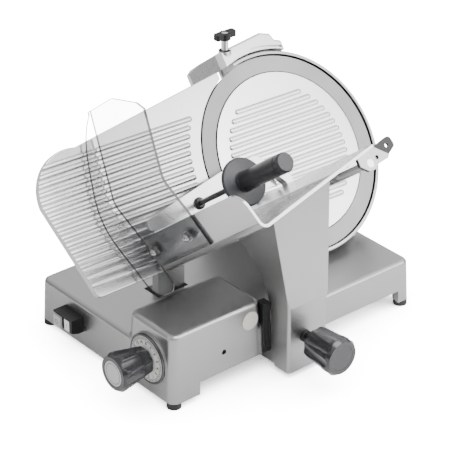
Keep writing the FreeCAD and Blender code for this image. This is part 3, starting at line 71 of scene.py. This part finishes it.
class Shader:
    """A node material under construction; each method returns an output socket."""

    def __init__(self, name):
        self.material = bpy.data.materials.new(name)
        self.material.use_nodes = True
        self.tree = self.material.node_tree
        self.surface = self.tree.nodes["Principled BSDF"]
        self.position = self.tree.nodes.new("ShaderNodeTexCoord").outputs["Object"]
        self.bevel = None

    def node(self, kind, **values):
        made = self.tree.nodes.new(kind)
        for key, value in values.items():
            setattr(made, key, value)
        return made

    def link(self, value, socket):
        if isinstance(value, bpy.types.NodeSocket):
            self.tree.links.new(value, socket)
        else:
            socket.default_value = value

    def set(self, **values):
        for key, value in values.items():
            self.link(value, self.surface.inputs[key.replace("_", " ")])

    def math(self, operation, first, second=0.0):
        made = self.node("ShaderNodeMath", operation=operation)
        self.link(first, made.inputs[0])
        self.link(second, made.inputs[1])
        return made.outputs[0]

    def noise(self, scale, detail=2.0, stretch=(1, 1, 1), turn=None):
        """Noise over the position; stretch below 1 draws it out along an axis of the turned frame."""
        mapping = self.node("ShaderNodeMapping")
        mapping.inputs["Scale"].default_value = stretch
        if turn is not None:
            mapping.vector_type = "TEXTURE"
            mapping.inputs["Rotation"].default_value = turn.to_euler()
            mapping.inputs["Scale"].default_value = [1 / s for s in stretch]
        self.link(self.position, mapping.inputs["Vector"])
        made = self.node("ShaderNodeTexNoise")
        made.inputs["Scale"].default_value = scale
        made.inputs["Detail"].default_value = detail
        self.link(mapping.outputs["Vector"], made.inputs["Vector"])
        return made.outputs["Fac"]

    def ramp(self, value, low, high, out_low, out_high):
        made = self.node("ShaderNodeMapRange")
        self.link(value, made.inputs["Value"])
        for key, number in (("From Min", low), ("From Max", high), ("To Min", out_low), ("To Max", out_high)):
            self.link(number, made.inputs[key])
        return made.outputs["Result"]

    def mix(self, factor, first, second):
        made = self.node("ShaderNodeMix", data_type="RGBA")
        self.link(factor, made.inputs["Factor"])
        self.link(first, made.inputs["A"])
        self.link(second, made.inputs["B"])
        return made.outputs["Result"]

    def along(self, direction, origin=(0, 0, 0)):
        """The position's distance along a direction, in metres."""
        shifted = self.node("ShaderNodeVectorMath", operation="SUBTRACT")
        self.link(self.position, shifted.inputs[0])
        shifted.inputs[1].default_value = origin
        made = self.node("ShaderNodeVectorMath", operation="DOT_PRODUCT")
        self.link(shifted.outputs[0], made.inputs[0])
        made.inputs[1].default_value = direction
        return made.outputs["Value"]

    def radius(self, origin, axis):
        """The position's distance from an axis, in metres."""
        side = axis.orthogonal().normalized()
        other = axis.cross(side)
        first = self.along(side, origin)
        second = self.along(other, origin)
        squares = self.math("ADD", self.math("MULTIPLY", first, first), self.math("MULTIPLY", second, second))
        return self.math("SQRT", squares)

    def bump(self, height, distance, strength=1.0):
        """Adds a bump on top of the rounded edges."""
        made = self.node("ShaderNodeBump")
        made.inputs["Strength"].default_value = strength
        made.inputs["Distance"].default_value = distance
        self.link(height, made.inputs["Height"])
        if self.bevel is not None:
            self.link(self.bevel, made.inputs["Normal"])
        self.link(made.outputs["Normal"], self.surface.inputs["Normal"])

    def rounded(self, radius):
        """Rounds every edge in the shading and returns a mask that is 1 on the edges."""
        made = self.node("ShaderNodeBevel", samples=4)
        made.inputs["Radius"].default_value = radius
        self.bevel = made.outputs["Normal"]
        self.link(self.bevel, self.surface.inputs["Normal"])
        geometry = self.node("ShaderNodeNewGeometry")
        facing = self.node("ShaderNodeVectorMath", operation="DOT_PRODUCT")
        self.link(self.bevel, facing.inputs[0])
        self.link(geometry.outputs["Normal"], facing.inputs[1])
        return self.ramp(facing.outputs["Value"], 0.99, 0.9, 0.0, 1.0)


def grey(level):
    """A neutral colour."""
    return (level, level, level, 1.0)


def cast_metal(name, level, rough=0.36):
    """Bead-blasted and anodised casting: fine grain, cloudy sheen, and a painted highlight that lightens the
    rounded edges.
    """
    shader = Shader(name)
    edges = shader.rounded(0.0009)
    clouds = shader.noise(9.0, 4.0)
    fine = shader.noise(1400.0, 3.0)
    shade = shader.mix(shader.ramp(clouds, 0.3, 0.7, 0, 1), grey(level * 0.97), grey(level * 1.03))
    # Painted highlight: the colour is lightened along the rounded edges, where light would catch them.
    shade = shader.mix(shader.math("MULTIPLY", edges, 0.6), shade, grey(min(level * 1.6, 0.95)))
    roughness = shader.math("ADD", shader.ramp(fine, 0.3, 0.7, rough - 0.05, rough + 0.05),
                            shader.ramp(clouds, 0.3, 0.7, -0.015, 0.015))
    shader.set(Base_Color=shade, Metallic=1.0, Roughness=roughness)
    shader.bump(fine, BLAST_DEPTH, 0.3)
    return shader.material


def brushed_metal(name, level, rough=0.3, metallic=0.9, stretch=(0.02, 1, 1), turn=None, scale=1600.0):
    """Fine parallel brushing along one direction."""
    shader = Shader(name)
    edges = shader.rounded(0.0006)
    lines = shader.noise(scale, 3.0, stretch, turn)
    clouds = shader.noise(7.0, 3.0)
    shade = shader.mix(lines, grey(level * 0.96), grey(level * 1.03))
    # Painted highlight: the colour is lightened along the rounded edges.
    shade = shader.mix(shader.math("MULTIPLY", edges, 0.4), shade, grey(min(level * 1.4, 0.96)))
    roughness = shader.math("ADD", shader.ramp(lines, 0.3, 0.7, rough - 0.03, rough + 0.03),
                            shader.ramp(clouds, 0.3, 0.7, -0.03, 0.04))
    shader.set(Base_Color=shade, Metallic=metallic, Roughness=roughness, Anisotropic=0.35)
    shader.bump(lines, BRUSH_DEPTH, 0.25)
    return shader.material


def turned_metal(name, level, origin, axis, rough=0.28, pitch=0.0006):
    """Concentric machining lines round an axis."""
    shader = Shader(name)
    edges = shader.rounded(0.0004)
    rings = shader.node("ShaderNodeTexNoise", noise_dimensions="1D")
    shader.link(shader.math("DIVIDE", shader.radius(origin, axis), pitch), rings.inputs["W"])
    rings.inputs["Scale"].default_value = 1.0
    rings.inputs["Detail"].default_value = 3.0
    fine = rings.outputs["Fac"]
    smears = shader.noise(14.0, 4.0)
    shade = shader.mix(fine, grey(level * 0.95), grey(level * 1.04))
    # Painted highlight: the colour is lightened along the rounded edges.
    shade = shader.mix(shader.math("MULTIPLY", edges, 0.3), shade, grey(min(level * 1.4, 0.96)))
    roughness = shader.math("ADD", shader.ramp(fine, 0.3, 0.7, rough - 0.02, rough + 0.03),
                            shader.ramp(smears, 0.35, 0.7, -0.03, 0.05))
    shader.set(Base_Color=shade, Metallic=0.95, Roughness=roughness)
    shader.bump(fine, BRUSH_DEPTH, 0.2)
    return shader.material


def plastic(name, colour, rough=0.45, grain=900.0, depth=0.00002, coat=0.0, shine=0.5):
    """Moulded plastic: spark-eroded grain, slight sheen changes, and a painted highlight that lightens the
    edges.
    """
    shader = Shader(name)
    edges = shader.rounded(0.0007)
    fine = shader.noise(grain, 2.0)
    clouds = shader.noise(25.0, 3.0)
    darker = tuple(channel * 0.93 for channel in colour[:3]) + (1.0,)
    edge_highlight_colour = tuple(min(channel + EDGE_HIGHLIGHT_GAIN, 1.0) for channel in colour[:3]) + (1.0,)
    shade = shader.mix(shader.ramp(clouds, 0.3, 0.7, 0, 1), darker, colour)
    # Painted highlight: the colour is lightened along the rounded edges.
    shade = shader.mix(shader.math("MULTIPLY", edges, 0.6), shade, edge_highlight_colour)
    roughness = shader.ramp(fine, 0.3, 0.7, rough - 0.04, rough + 0.04)
    shader.set(Base_Color=shade, Roughness=roughness, Coat_Weight=coat, Specular_IOR_Level=shine)
    shader.bump(fine, depth, 0.3)
    return shader.material


def clear_sheet(name):
    """Clear polycarbonate: painted shade makes its cut edges and the line of its bend near black, in place of
    the dark that light bending in a clear edge gives; a painted sheen makes the grey film more opaque at
    grazing angles; fine wiping scratches.
    """
    shader = Shader(name)
    normal = shader.node("ShaderNodeNewGeometry").outputs["Normal"]

    def facing(direction):
        made = shader.node("ShaderNodeVectorMath", operation="DOT_PRODUCT")
        shader.link(normal, made.inputs[0])
        made.inputs[1].default_value = direction
        return shader.math("ABSOLUTE", made.outputs["Value"])

    # Painted shade: the mask below picks the cut edges and the bend, which are coloured near black and made
    # nearly opaque.
    sideways = facing(RIGHT)
    outwards = facing(OUT)
    in_flange = shader.math("LESS_THAN", shader.along(OUT, CENTRE), FLANGE_DEPTH)
    flange_face = shader.math("MULTIPLY", in_flange, shader.math("GREATER_THAN", outwards, 0.9))
    sheet_edge = shader.math("MULTIPLY", shader.math("LESS_THAN", sideways, 0.5),
                             shader.math("SUBTRACT", 1.0, flange_face))
    flange_edge = shader.math("MULTIPLY", in_flange, shader.math("LESS_THAN", outwards, 0.3))
    edge = shader.math("MAXIMUM", sheet_edge, flange_edge)
    scratches = shader.noise(700.0, 3.0, (1, 0.05, 1))
    # Painted sheen: opacity grows with the Fresnel factor, standing in for the sheet's stronger reflection at
    # grazing angles.
    sheen = shader.node("ShaderNodeFresnel")
    sheen.inputs["IOR"].default_value = 1.5
    clear = shader.math("ADD", 0.09, shader.math("MULTIPLY", sheen.outputs["Fac"], 0.25))
    shader.set(Base_Color=shader.mix(edge, (0.16, 0.17, 0.18, 1), (0.004, 0.004, 0.005, 1)), IOR=1.5,
               Roughness=shader.ramp(scratches, 0.5, 0.9, 0.02, 0.06), Specular_IOR_Level=0.5,
               Alpha=shader.math("MAXIMUM", shader.math("MULTIPLY", edge, 0.92), clear))
    return shader.material


def two_depths(name, depth, light, dark):
    """Bracket metal, light in front of a depth along the blade's axis and dark behind it; a painted highlight
    lightens the edges.
    """
    shader = Shader(name)
    edges = shader.rounded(0.0006)
    front = shader.math("GREATER_THAN", shader.along(OUT, CENTRE), depth)
    fine = shader.noise(1200.0, 2.0)
    shade = shader.mix(front, grey(dark), grey(light))
    # Painted highlight: the colour is lightened along the rounded edges.
    shade = shader.mix(shader.math("MULTIPLY", edges, 0.5), shade, grey(min(light * 1.3, 0.9)))
    shader.set(Base_Color=shade, Metallic=0.8, Roughness=shader.ramp(fine, 0.3, 0.7, 0.3, 0.38))
    shader.bump(fine, 0.00003, 0.3)
    return shader.material


def dial_face(name):
    """White enamel dial with fine moulded texture and a thin dark line near its rim."""
    shader = Shader(name)
    reach = shader.radius(KNOB_AXIS, RIGHT)
    line = shader.math("COMPARE", reach, DIAL_LINE_RADIUS)
    line.node.inputs[2].default_value = 0.00025
    fine = shader.noise(600.0)
    shade = shader.mix(line, (0.72, 0.72, 0.70, 1), (0.08, 0.08, 0.08, 1))
    shader.set(Base_Color=shade, Roughness=shader.ramp(fine, 0.3, 0.7, 0.3, 0.42))
    shader.bump(fine, 0.00003, 0.2)
    return shader.material


def cap_disc(name, origin, axis, level):
    """A plain knob cap: pale disc, darker turned ring near the edge."""
    shader = Shader(name)
    edges = shader.rounded(0.0006)
    reach = shader.radius(origin, axis)
    ring = shader.math("COMPARE", reach, CAP_RING_RADIUS)
    ring.node.inputs[2].default_value = 0.0007
    fine = shader.noise(500.0)
    shade = shader.mix(ring, grey(level), grey(level * 0.35))
    # Painted highlight: the colour is lightened along the rounded edges.
    shade = shader.mix(shader.math("MULTIPLY", edges, 0.3), shade, grey(min(level * 1.3, 0.95)))
    shader.set(Base_Color=shade, Roughness=shader.ramp(fine, 0.3, 0.7, 0.28, 0.38), Coat_Weight=0.3)
    shader.bump(ring, -0.0002, 0.5)
    return shader.material


TILT = BLADE_TURN.to_3x3()
MATERIALS = {
    "casting": cast_metal("casting", 0.35),
    "arm casting": cast_metal("arm_casting", 0.36, rough=0.40),
    "ring casting": cast_metal("ring_casting", 0.37, rough=0.28),
    "hood casting": cast_metal("hood_casting", 0.60, rough=0.26),
    "plate": brushed_metal("brushed_plate", 0.50, rough=0.2),
    "cover": brushed_metal("brushed_cover", 0.69, rough=0.22),
    "tray": brushed_metal("brushed_tray", 0.52, rough=0.22, stretch=(1, 0.02, 1), turn=TILT),
    "bright": brushed_metal("bright_bracket", 0.62, rough=0.28),
    "blade": turned_metal("ground_blade", 0.21, CENTRE, OUT, rough=0.34),
    "pulley": turned_metal("turned_pulley", 0.55, CENTRE, OUT),
    "bezel": turned_metal("turned_bezel", 0.10, KNOB_AXIS, RIGHT, pitch=0.0004),
    "steel": brushed_metal("ground_steel", 0.62, rough=0.2, metallic=1.0, stretch=(1, 1, 1), scale=900.0),
    "screws": turned_metal("screw_steel", 0.45, CENTRE, OUT, pitch=0.0003),
    "chrome": brushed_metal("chrome", 0.28, rough=0.10, metallic=1.0, stretch=(1, 1, 1), scale=400.0),
    "dark": plastic("dark_plastic", (0.014, 0.0145, 0.017, 1), rough=0.24, coat=0.3),
    "black": plastic("black_plastic", (0.007, 0.007, 0.008, 1), rough=0.45, shine=0.3),
    "lugs": two_depths("shaft_lug_metal", 0.2665, 0.40, 0.035),
    "grip": plastic("grip_plastic", (0.020, 0.021, 0.025, 1), rough=0.36, grain=1100.0),
    "black rod": plastic("black_oxide", (0.006, 0.006, 0.007, 1), rough=0.32, grain=1500.0, depth=0.00002),
    "motor": plastic("motor_paint", (0.03, 0.032, 0.036, 1), rough=0.5, grain=300.0),
    "white": plastic("white_plastic", (0.86, 0.86, 0.84, 1), rough=0.36, depth=0.00003),
    "light grey": plastic("light_grey_plastic", (0.46, 0.47, 0.47, 1), rough=0.36, depth=0.00003),
    "cream": plastic("cream_plastic", (0.52, 0.51, 0.46, 1), rough=0.42, depth=0.00003),
    "rubber": plastic("rubber", (0.012, 0.012, 0.012, 1), rough=0.65, grain=500.0, depth=0.0001),
    "stone": plastic("grinding_stone", (0.42, 0.20, 0.14, 1), rough=0.9, grain=1500.0, depth=0.0004),
    "bronze": turned_metal("bronze", 0.45, CENTRE, OUT),
    "guard": clear_sheet("clear_guard"),
    "dial": dial_face("dial_enamel"),
    "knob cap": cap_disc("knob_cap_disc", KNOB_AXIS, RIGHT, 0.42),
    "ink": plastic("printed_ink", (0.02, 0.02, 0.02, 1), rough=0.5, grain=2000.0, depth=0.00001),
    # Painted shade: near-black rings for the shade in the gaps at the sharpener's stem and round the cover's
    # edge; also the grip's end-cap seam line.
    "gap": plastic("gap_shade_and_seam_line", (0.01, 0.01, 0.01, 1), rough=0.8, grain=2000.0, depth=0.00001),
}
FINISHES = {
    "casting": "base_casting blade_support rear_cover gauge_carriage carriage_slider",
    "arm casting": "carriage_arm",
    "ring casting": "blade_guard_ring",
    "hood casting": "sharpener_housing",
    "plate": "gauge_plate",
    "cover": "blade_cover",
    "tray": "product_tray pusher_plate",
    "bright": "pusher_arm motor_plate",
    "blade": "slicing_blade",
    "pulley": "blade_pulley motor_pulley spindle_bearings blade_spindle cover_tie_rod thickness_cam",
    "bezel": "dial_bezel knob_spindle",
    "steel": "carriage_shaft gauge_shaft pusher_shaft sharpener_post sharpener_stem cam_follower",
    "screws": "socket_screws slider_bolts tray_screws gauge_plate_screws blade_screws",
    "chrome": "guard_bolts",
    "dark": "thickness_knob arm_knob arm_knob_cap cover_hand_nut cable_gland",
    "black": "arm_knob_stud carriage_buffer switch_housing sharpener_knob",
    "lugs": "shaft_lugs",
    "grip": "handle_grip handle_flange",
    "black rod": "handle_rod",
    "motor": "motor",
    "white": "start_button",
    "light grey": "stop_button",
    "cream": "housing_plug",
    "rubber": "rubber_feet drive_belt",
    "stone": "sharpening_stones",
    "bronze": "carriage_bushes pusher_bush",
    "guard": "hand_guard",
    "dial": "dial_scale",
    "knob cap": "knob_cap",
}
for finish, names in FINISHES.items():
    for name in names.split():
        mesh = NODES[name].data
        for slot in range(max(len(mesh.materials), 1)):
            if len(mesh.materials) == 0:
                mesh.materials.append(MATERIALS[finish])
            mesh.materials[slot] = MATERIALS[finish]


# ---------------------------------------------------------------- small pieces added to the CAD nodes
def mesh_piece(name, vertices, faces, finish, body, smooth=False):
    """A piece from vertices and faces in the row frame, riding on a body."""
    mesh = bpy.data.meshes.new(name)
    mesh.from_pydata([tuple(v) for v in vertices], [], faces)
    mesh.validate()
    piece = bpy.data.objects.new(name, mesh)
    bpy.context.scene.collection.objects.link(piece)
    mesh.materials.append(MATERIALS[finish])
    for face in mesh.polygons:
        face.use_smooth = smooth
    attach(piece, body)
    return piece


def bars(origin_list, size):
    """Vertices and faces of small bars; each entry is (centre, x axis, y axis, z axis), size is (x, y, z)."""
    corners = [(i, j, k) for i in (-1, 1) for j in (-1, 1) for k in (-1, 1)]
    sides = [(0, 1, 3, 2), (4, 6, 7, 5), (0, 4, 5, 1), (2, 3, 7, 6), (0, 2, 6, 4), (1, 5, 7, 3)]
    vertices = []
    faces = []
    for centre, x_dir, y_dir, z_dir in origin_list:
        start = len(vertices)
        for i, j, k in corners:
            across = x_dir * (i * size[0] / 2) + y_dir * (j * size[1] / 2)
            vertices.append(centre + across + z_dir * (k * size[2] / 2))
        faces += [tuple(start + n for n in side) for side in sides]
    return vertices, faces


TURN_STEPS = 64


def lathe(name, profile, centre, axis, finish, body):
    """A turned piece from (radius, distance along the axis) points, in metres, closed on itself."""
    side = axis.orthogonal().normalized()
    other = axis.cross(side)
    vertices = []
    faces = []
    count = len(profile)
    for i in range(TURN_STEPS):
        angle = 2 * math.pi * i / TURN_STEPS
        out = side * math.cos(angle) + other * math.sin(angle)
        for reach, height in profile:
            vertices.append(centre + out * reach + axis * height)
    for i in range(TURN_STEPS):
        for j in range(count):
            nxt = (j + 1) % count
            a = i * count + j
            b = i * count + nxt
            c = ((i + 1) % TURN_STEPS) * count + nxt
            d = ((i + 1) % TURN_STEPS) * count + j
            faces.append((a, b, c, d))
    return mesh_piece(name, vertices, faces, finish, body, True)


DIAL_TICKS = 90
LONG_TICK_EVERY = 6
DIAL_NUMBERS = 15
TICK_RADIUS = 31.2 * MM
LONG_TICK_RADIUS = 30.0 * MM
NUMBER_RADIUS = 25.6 * MM
TICK_SIZE = (0.2 * MM, 0.8 * MM, 3.4 * MM)
NUMBER_HEIGHT = 6.8 * MM
NUMBER_THICKNESS = 0.08 * MM
NUMBER_BOLDNESS = 0.2 * MM


def add_dial_marks():
    """Ticks and generic numbers round the dial."""
    low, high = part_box("dial_scale")
    face = Vector((low.x - 0.00005, KNOB_AXIS.y, KNOB_AXIS.z))
    ticks = []
    for i in range(DIAL_TICKS):
        angle = 2 * math.pi * i / DIAL_TICKS
        out = Vector((0, math.cos(angle), math.sin(angle)))
        reach = LONG_TICK_RADIUS if i % LONG_TICK_EVERY == 0 else TICK_RADIUS
        ticks.append((face + out * reach, RIGHT, RIGHT.cross(out), out))
    vertices, faces = bars(ticks, TICK_SIZE)
    mesh_piece("dial_ticks", vertices, faces, "ink", "thickness_control")
    for number in range(DIAL_NUMBERS):
        angle = math.pi / 2 + 2 * math.pi * number / DIAL_NUMBERS
        out = Vector((0, math.cos(angle), math.sin(angle)))
        text = bpy.data.curves.new("dial_number_%d" % number, "FONT")
        text.body = str(number)
        text.size = NUMBER_HEIGHT
        text.extrude = NUMBER_THICKNESS
        text.offset = NUMBER_BOLDNESS
        text.align_x = "CENTER"
        text.align_y = "CENTER"
        text.materials.append(MATERIALS["ink"])
        label = bpy.data.objects.new("dial_number_%d" % number, text)
        bpy.context.scene.collection.objects.link(label)
        toward_eye = Vector((-1, 0, 0))
        turn = Matrix((out.cross(toward_eye), out, toward_eye)).transposed().to_4x4()
        label.matrix_world = Matrix.Translation(face + out * NUMBER_RADIUS) @ turn
        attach(label, "thickness_control")


# The tray's floor in the blade's frame, in millimetres, as in the CAD node.
TRAY_VALLEY = Vector((-285.0, -95.0))
TRAY_TIP = Vector((-63.0, -46.6))
TRAY_MIDDLE = 137.5
FLOOR_LIFT = 4.05           # from the line of the floor's underside to the ridges' middle
RIDGES = 34
FIRST_RIDGE = 16.0
RIDGE_PITCH = 4.0
RIDGE_SIZE = (1.3 * MM, 245 * MM, 0.7 * MM)


def add_tray_ridges():
    """Fine ridges along the tray's floor."""
    run = (TRAY_TIP - TRAY_VALLEY).normalized()
    lift = Vector((-run.y, run.x))
    ridge_lines = []
    along = RIGHT * run.x + UP * run.y
    normal = RIGHT * lift.x + UP * lift.y
    for i in range(RIDGES):
        place = TRAY_VALLEY + run * (FIRST_RIDGE + RIDGE_PITCH * i) + lift * FLOOR_LIFT
        ridge_lines.append((at_blade(place.x, place.y, TRAY_MIDDLE), along, OUT, normal))
    vertices, faces = bars(ridge_lines, RIDGE_SIZE)
    mesh_piece("tray_ridges", vertices, faces, "tray", "carriage")


def flat_ring(name, centre, axis, inner, outer, height, finish, body):
    """A thin washer-like ring standing on a face."""
    lathe(name, [(inner, 0), (outer, 0), (outer, height), (inner, height)], centre, axis, finish, body)


STEM_FOOT_DROP = 22 * MM    # from the sharpener knob's joint down to the hood's top
GRIP_LINE_PLACE = (-204, -21.5, 249)
COVER_EDGE_PLACE = (0, 0, -0.25)
START_MARK = (0.2 * MM, 0.9 * MM, 7 * MM)


def add_small_rings():
    """Shadow lines round the sharpener's stem and the cover's edge, the grip's end-cap line, button marks."""
    stem_foot = Vector(JOINTS["sharpener_knob_turn"]["pos_m"]) - Vector((0, 0, STEM_FOOT_DROP))
    # Painted shadow: a near-black ring where the stem meets the hood.
    flat_ring("stem_gap_shade", stem_foot, Vector((0, 0, 1)), 0.0056, 0.0085, 0.0004, "gap", "sharpener")
    flat_ring("grip_cap_line", at_blade(*GRIP_LINE_PLACE), OUT, 0.0142, 0.01445, 0.0012, "gap", "pusher")
    # Painted shadow: a near-black ring round the blade cover's edge.
    flat_ring("cover_edge_shade_line", at_blade(*COVER_EDGE_PLACE), OUT, 0.1247, 0.1260, 0.0002, "gap", "base")
    start_face = outer_face("start_button")
    vertices, faces = bars([(start_face, RIGHT, Vector((0, 1, 0)), Vector((0, 0, 1)))], START_MARK)
    mesh_piece("start_mark", vertices, faces, "light grey", "start")
    flat_ring("stop_mark", outer_face("stop_button"), RIGHT, 0.0028, 0.0038, 0.0002, "ink", "stop")


def outer_face(node):
    """The middle of a node's left face, a hair outside it."""
    low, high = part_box(node)
    return Vector((low.x - 0.0001, (low.y + high.y) / 2, (low.z + high.z) / 2))


add_dial_marks()
add_tray_ridges()
add_small_rings()


# ---------------------------------------------------------------- floor, light and camera
PAPER_GLOW = 18.0           # what the camera sees of the floor beyond its own light
STUDIO_STRENGTH = 1.9
CARD_PLACE = (0.45, -0.75, 0.0)
CARD_GLOW = 1.2
LIGHT_TARGET = (0, 0, 0.15)
CAMERA_PLACE = (-1.7878, -2.1418, 1.7186)
CAMERA_FORWARD = Vector((0.5578, 0.6696, -0.4904))
CAMERA_LENS = 176.0
CAMERA_SENSOR = 36.0


def make_floor():
    """A pale plain floor that reads as white paper; its glow for the camera is dimmed by ambient occlusion, a
    painted soft shadow only near what stands on it.
    """
    size = 6.0
    mesh = bpy.data.meshes.new("floor")
    corners = [(-size, -size, 0), (size, -size, 0), (size, size, 0), (-size, size, 0)]
    mesh.from_pydata(corners, [], [(0, 1, 2, 3)])
    floor = bpy.data.objects.new("floor", mesh)
    bpy.context.scene.collection.objects.link(floor)
    shader = Shader("floor")
    soft = shader.noise(3.0, 2.0)
    near = shader.node("ShaderNodeAmbientOcclusion", samples=8)
    near.inputs["Distance"].default_value = 0.16
    seen = shader.node("ShaderNodeLightPath").outputs["Is Camera Ray"]
    # Painted shadow: the glow the camera sees falls off where ambient occlusion finds the machine close by.
    paper = shader.ramp(near.outputs["AO"], 0.15, 0.95, 0.15, PAPER_GLOW)
    # A brighter patch in front, which only the object sees, lifts its front faces like a white card would.
    apart = shader.node("ShaderNodeVectorMath", operation="DISTANCE")
    shader.link(shader.position, apart.inputs[0])
    apart.inputs[1].default_value = CARD_PLACE
    card = shader.ramp(apart.outputs["Value"], 0.15, 0.85, CARD_GLOW, 0.0)
    hidden = shader.math("SUBTRACT", 1.0, seen)
    glow = shader.math("ADD", shader.math("MULTIPLY", seen, paper), shader.math("MULTIPLY", hidden, card))
    shader.set(Base_Color=shader.mix(soft, grey(0.90), grey(0.93)), Roughness=0.9, Specular_IOR_Level=0.0,
               Emission_Color=grey(1.0), Emission_Strength=glow)
    mesh.materials.append(shader.material)


def make_world():
    """White behind the object; a soft studio for its reflections, darker towards the ground and the left."""
    world = bpy.data.worlds.new("studio")
    world.use_nodes = True
    bpy.context.scene.world = world
    tree = world.node_tree
    tree.nodes.clear()
    coordinates = tree.nodes.new("ShaderNodeTexCoord")
    split = tree.nodes.new("ShaderNodeSeparateXYZ")
    ramp = tree.nodes.new("ShaderNodeValToRGB")
    tree.links.new(coordinates.outputs["Generated"], split.inputs[0])
    tree.links.new(split.outputs["Z"], ramp.inputs["Fac"])
    ramp.color_ramp.elements[0].position = 0.0
    ramp.color_ramp.elements[0].color = grey(0.50)
    ramp.color_ramp.elements[1].position = 0.6
    ramp.color_ramp.elements[1].color = grey(1.0)
    ramp.color_ramp.elements.new(1.0).color = grey(0.40)
    for position, level in ((0.03, 0.10), (0.25, 0.22), (0.40, 0.80), (0.85, 0.85)):
        ramp.color_ramp.elements.new(position).color = grey(level)

    def gradient(axis, low, high):
        made = tree.nodes.new("ShaderNodeMapRange")
        tree.links.new(split.outputs[axis], made.inputs["Value"])
        for key, number in (("From Min", -1.0), ("From Max", 1.0), ("To Min", low), ("To Max", high)):
            made.inputs[key].default_value = number
        return made.outputs["Result"]

    studio = tree.nodes.new("ShaderNodeBackground")
    tree.links.new(ramp.outputs["Color"], studio.inputs["Color"])
    strength = tree.nodes.new("ShaderNodeMath")
    strength.operation = "MULTIPLY"
    tree.links.new(gradient("X", 0.5 * STUDIO_STRENGTH, 1.5 * STUDIO_STRENGTH), strength.inputs[0])
    tree.links.new(gradient("Y", 1.3, 0.65), strength.inputs[1])
    tree.links.new(strength.outputs[0], studio.inputs["Strength"])
    backdrop = tree.nodes.new("ShaderNodeBackground")
    backdrop.inputs["Color"].default_value = grey(1.0)
    backdrop.inputs["Strength"].default_value = PAPER_GLOW + 1.0
    choose = tree.nodes.new("ShaderNodeMixShader")
    path = tree.nodes.new("ShaderNodeLightPath")
    output = tree.nodes.new("ShaderNodeOutputWorld")
    tree.links.new(path.outputs["Is Camera Ray"], choose.inputs[0])
    tree.links.new(studio.outputs[0], choose.inputs[1])
    tree.links.new(backdrop.outputs[0], choose.inputs[2])
    tree.links.new(choose.outputs[0], output.inputs["Surface"])


def make_light(name, place, width, height, power):
    """A rectangular soft lamp that faces the middle of the machine."""
    data = bpy.data.lights.new(name, "AREA")
    data.shape = "RECTANGLE"
    data.size = width
    data.size_y = height
    data.energy = power
    lamp = bpy.data.objects.new(name, data)
    lamp.location = place
    lamp.rotation_mode = "QUATERNION"
    lamp.rotation_quaternion = (Vector(LIGHT_TARGET) - Vector(place)).to_track_quat("-Z", "Y")
    bpy.context.scene.collection.objects.link(lamp)


def make_camera():
    """A long lens, from the front left and above."""
    data = bpy.data.cameras.new("camera")
    data.sensor_width = CAMERA_SENSOR
    data.lens = CAMERA_LENS
    camera = bpy.data.objects.new("camera", data)
    camera.location = CAMERA_PLACE
    camera.rotation_mode = "QUATERNION"
    camera.rotation_quaternion = CAMERA_FORWARD.to_track_quat("-Z", "Y")
    bpy.context.scene.collection.objects.link(camera)
    bpy.context.scene.camera = camera


make_floor()
make_world()
make_light("key", (0.3, -1.1, 2.2), 1.6, 1.2, 48)
make_light("front_right", (1.4, -2.0, 1.3), 1.2, 1.4, 30)
make_light("left_fill", (-2.0, 0.4, 1.0), 1.0, 1.6, 6)
make_camera()
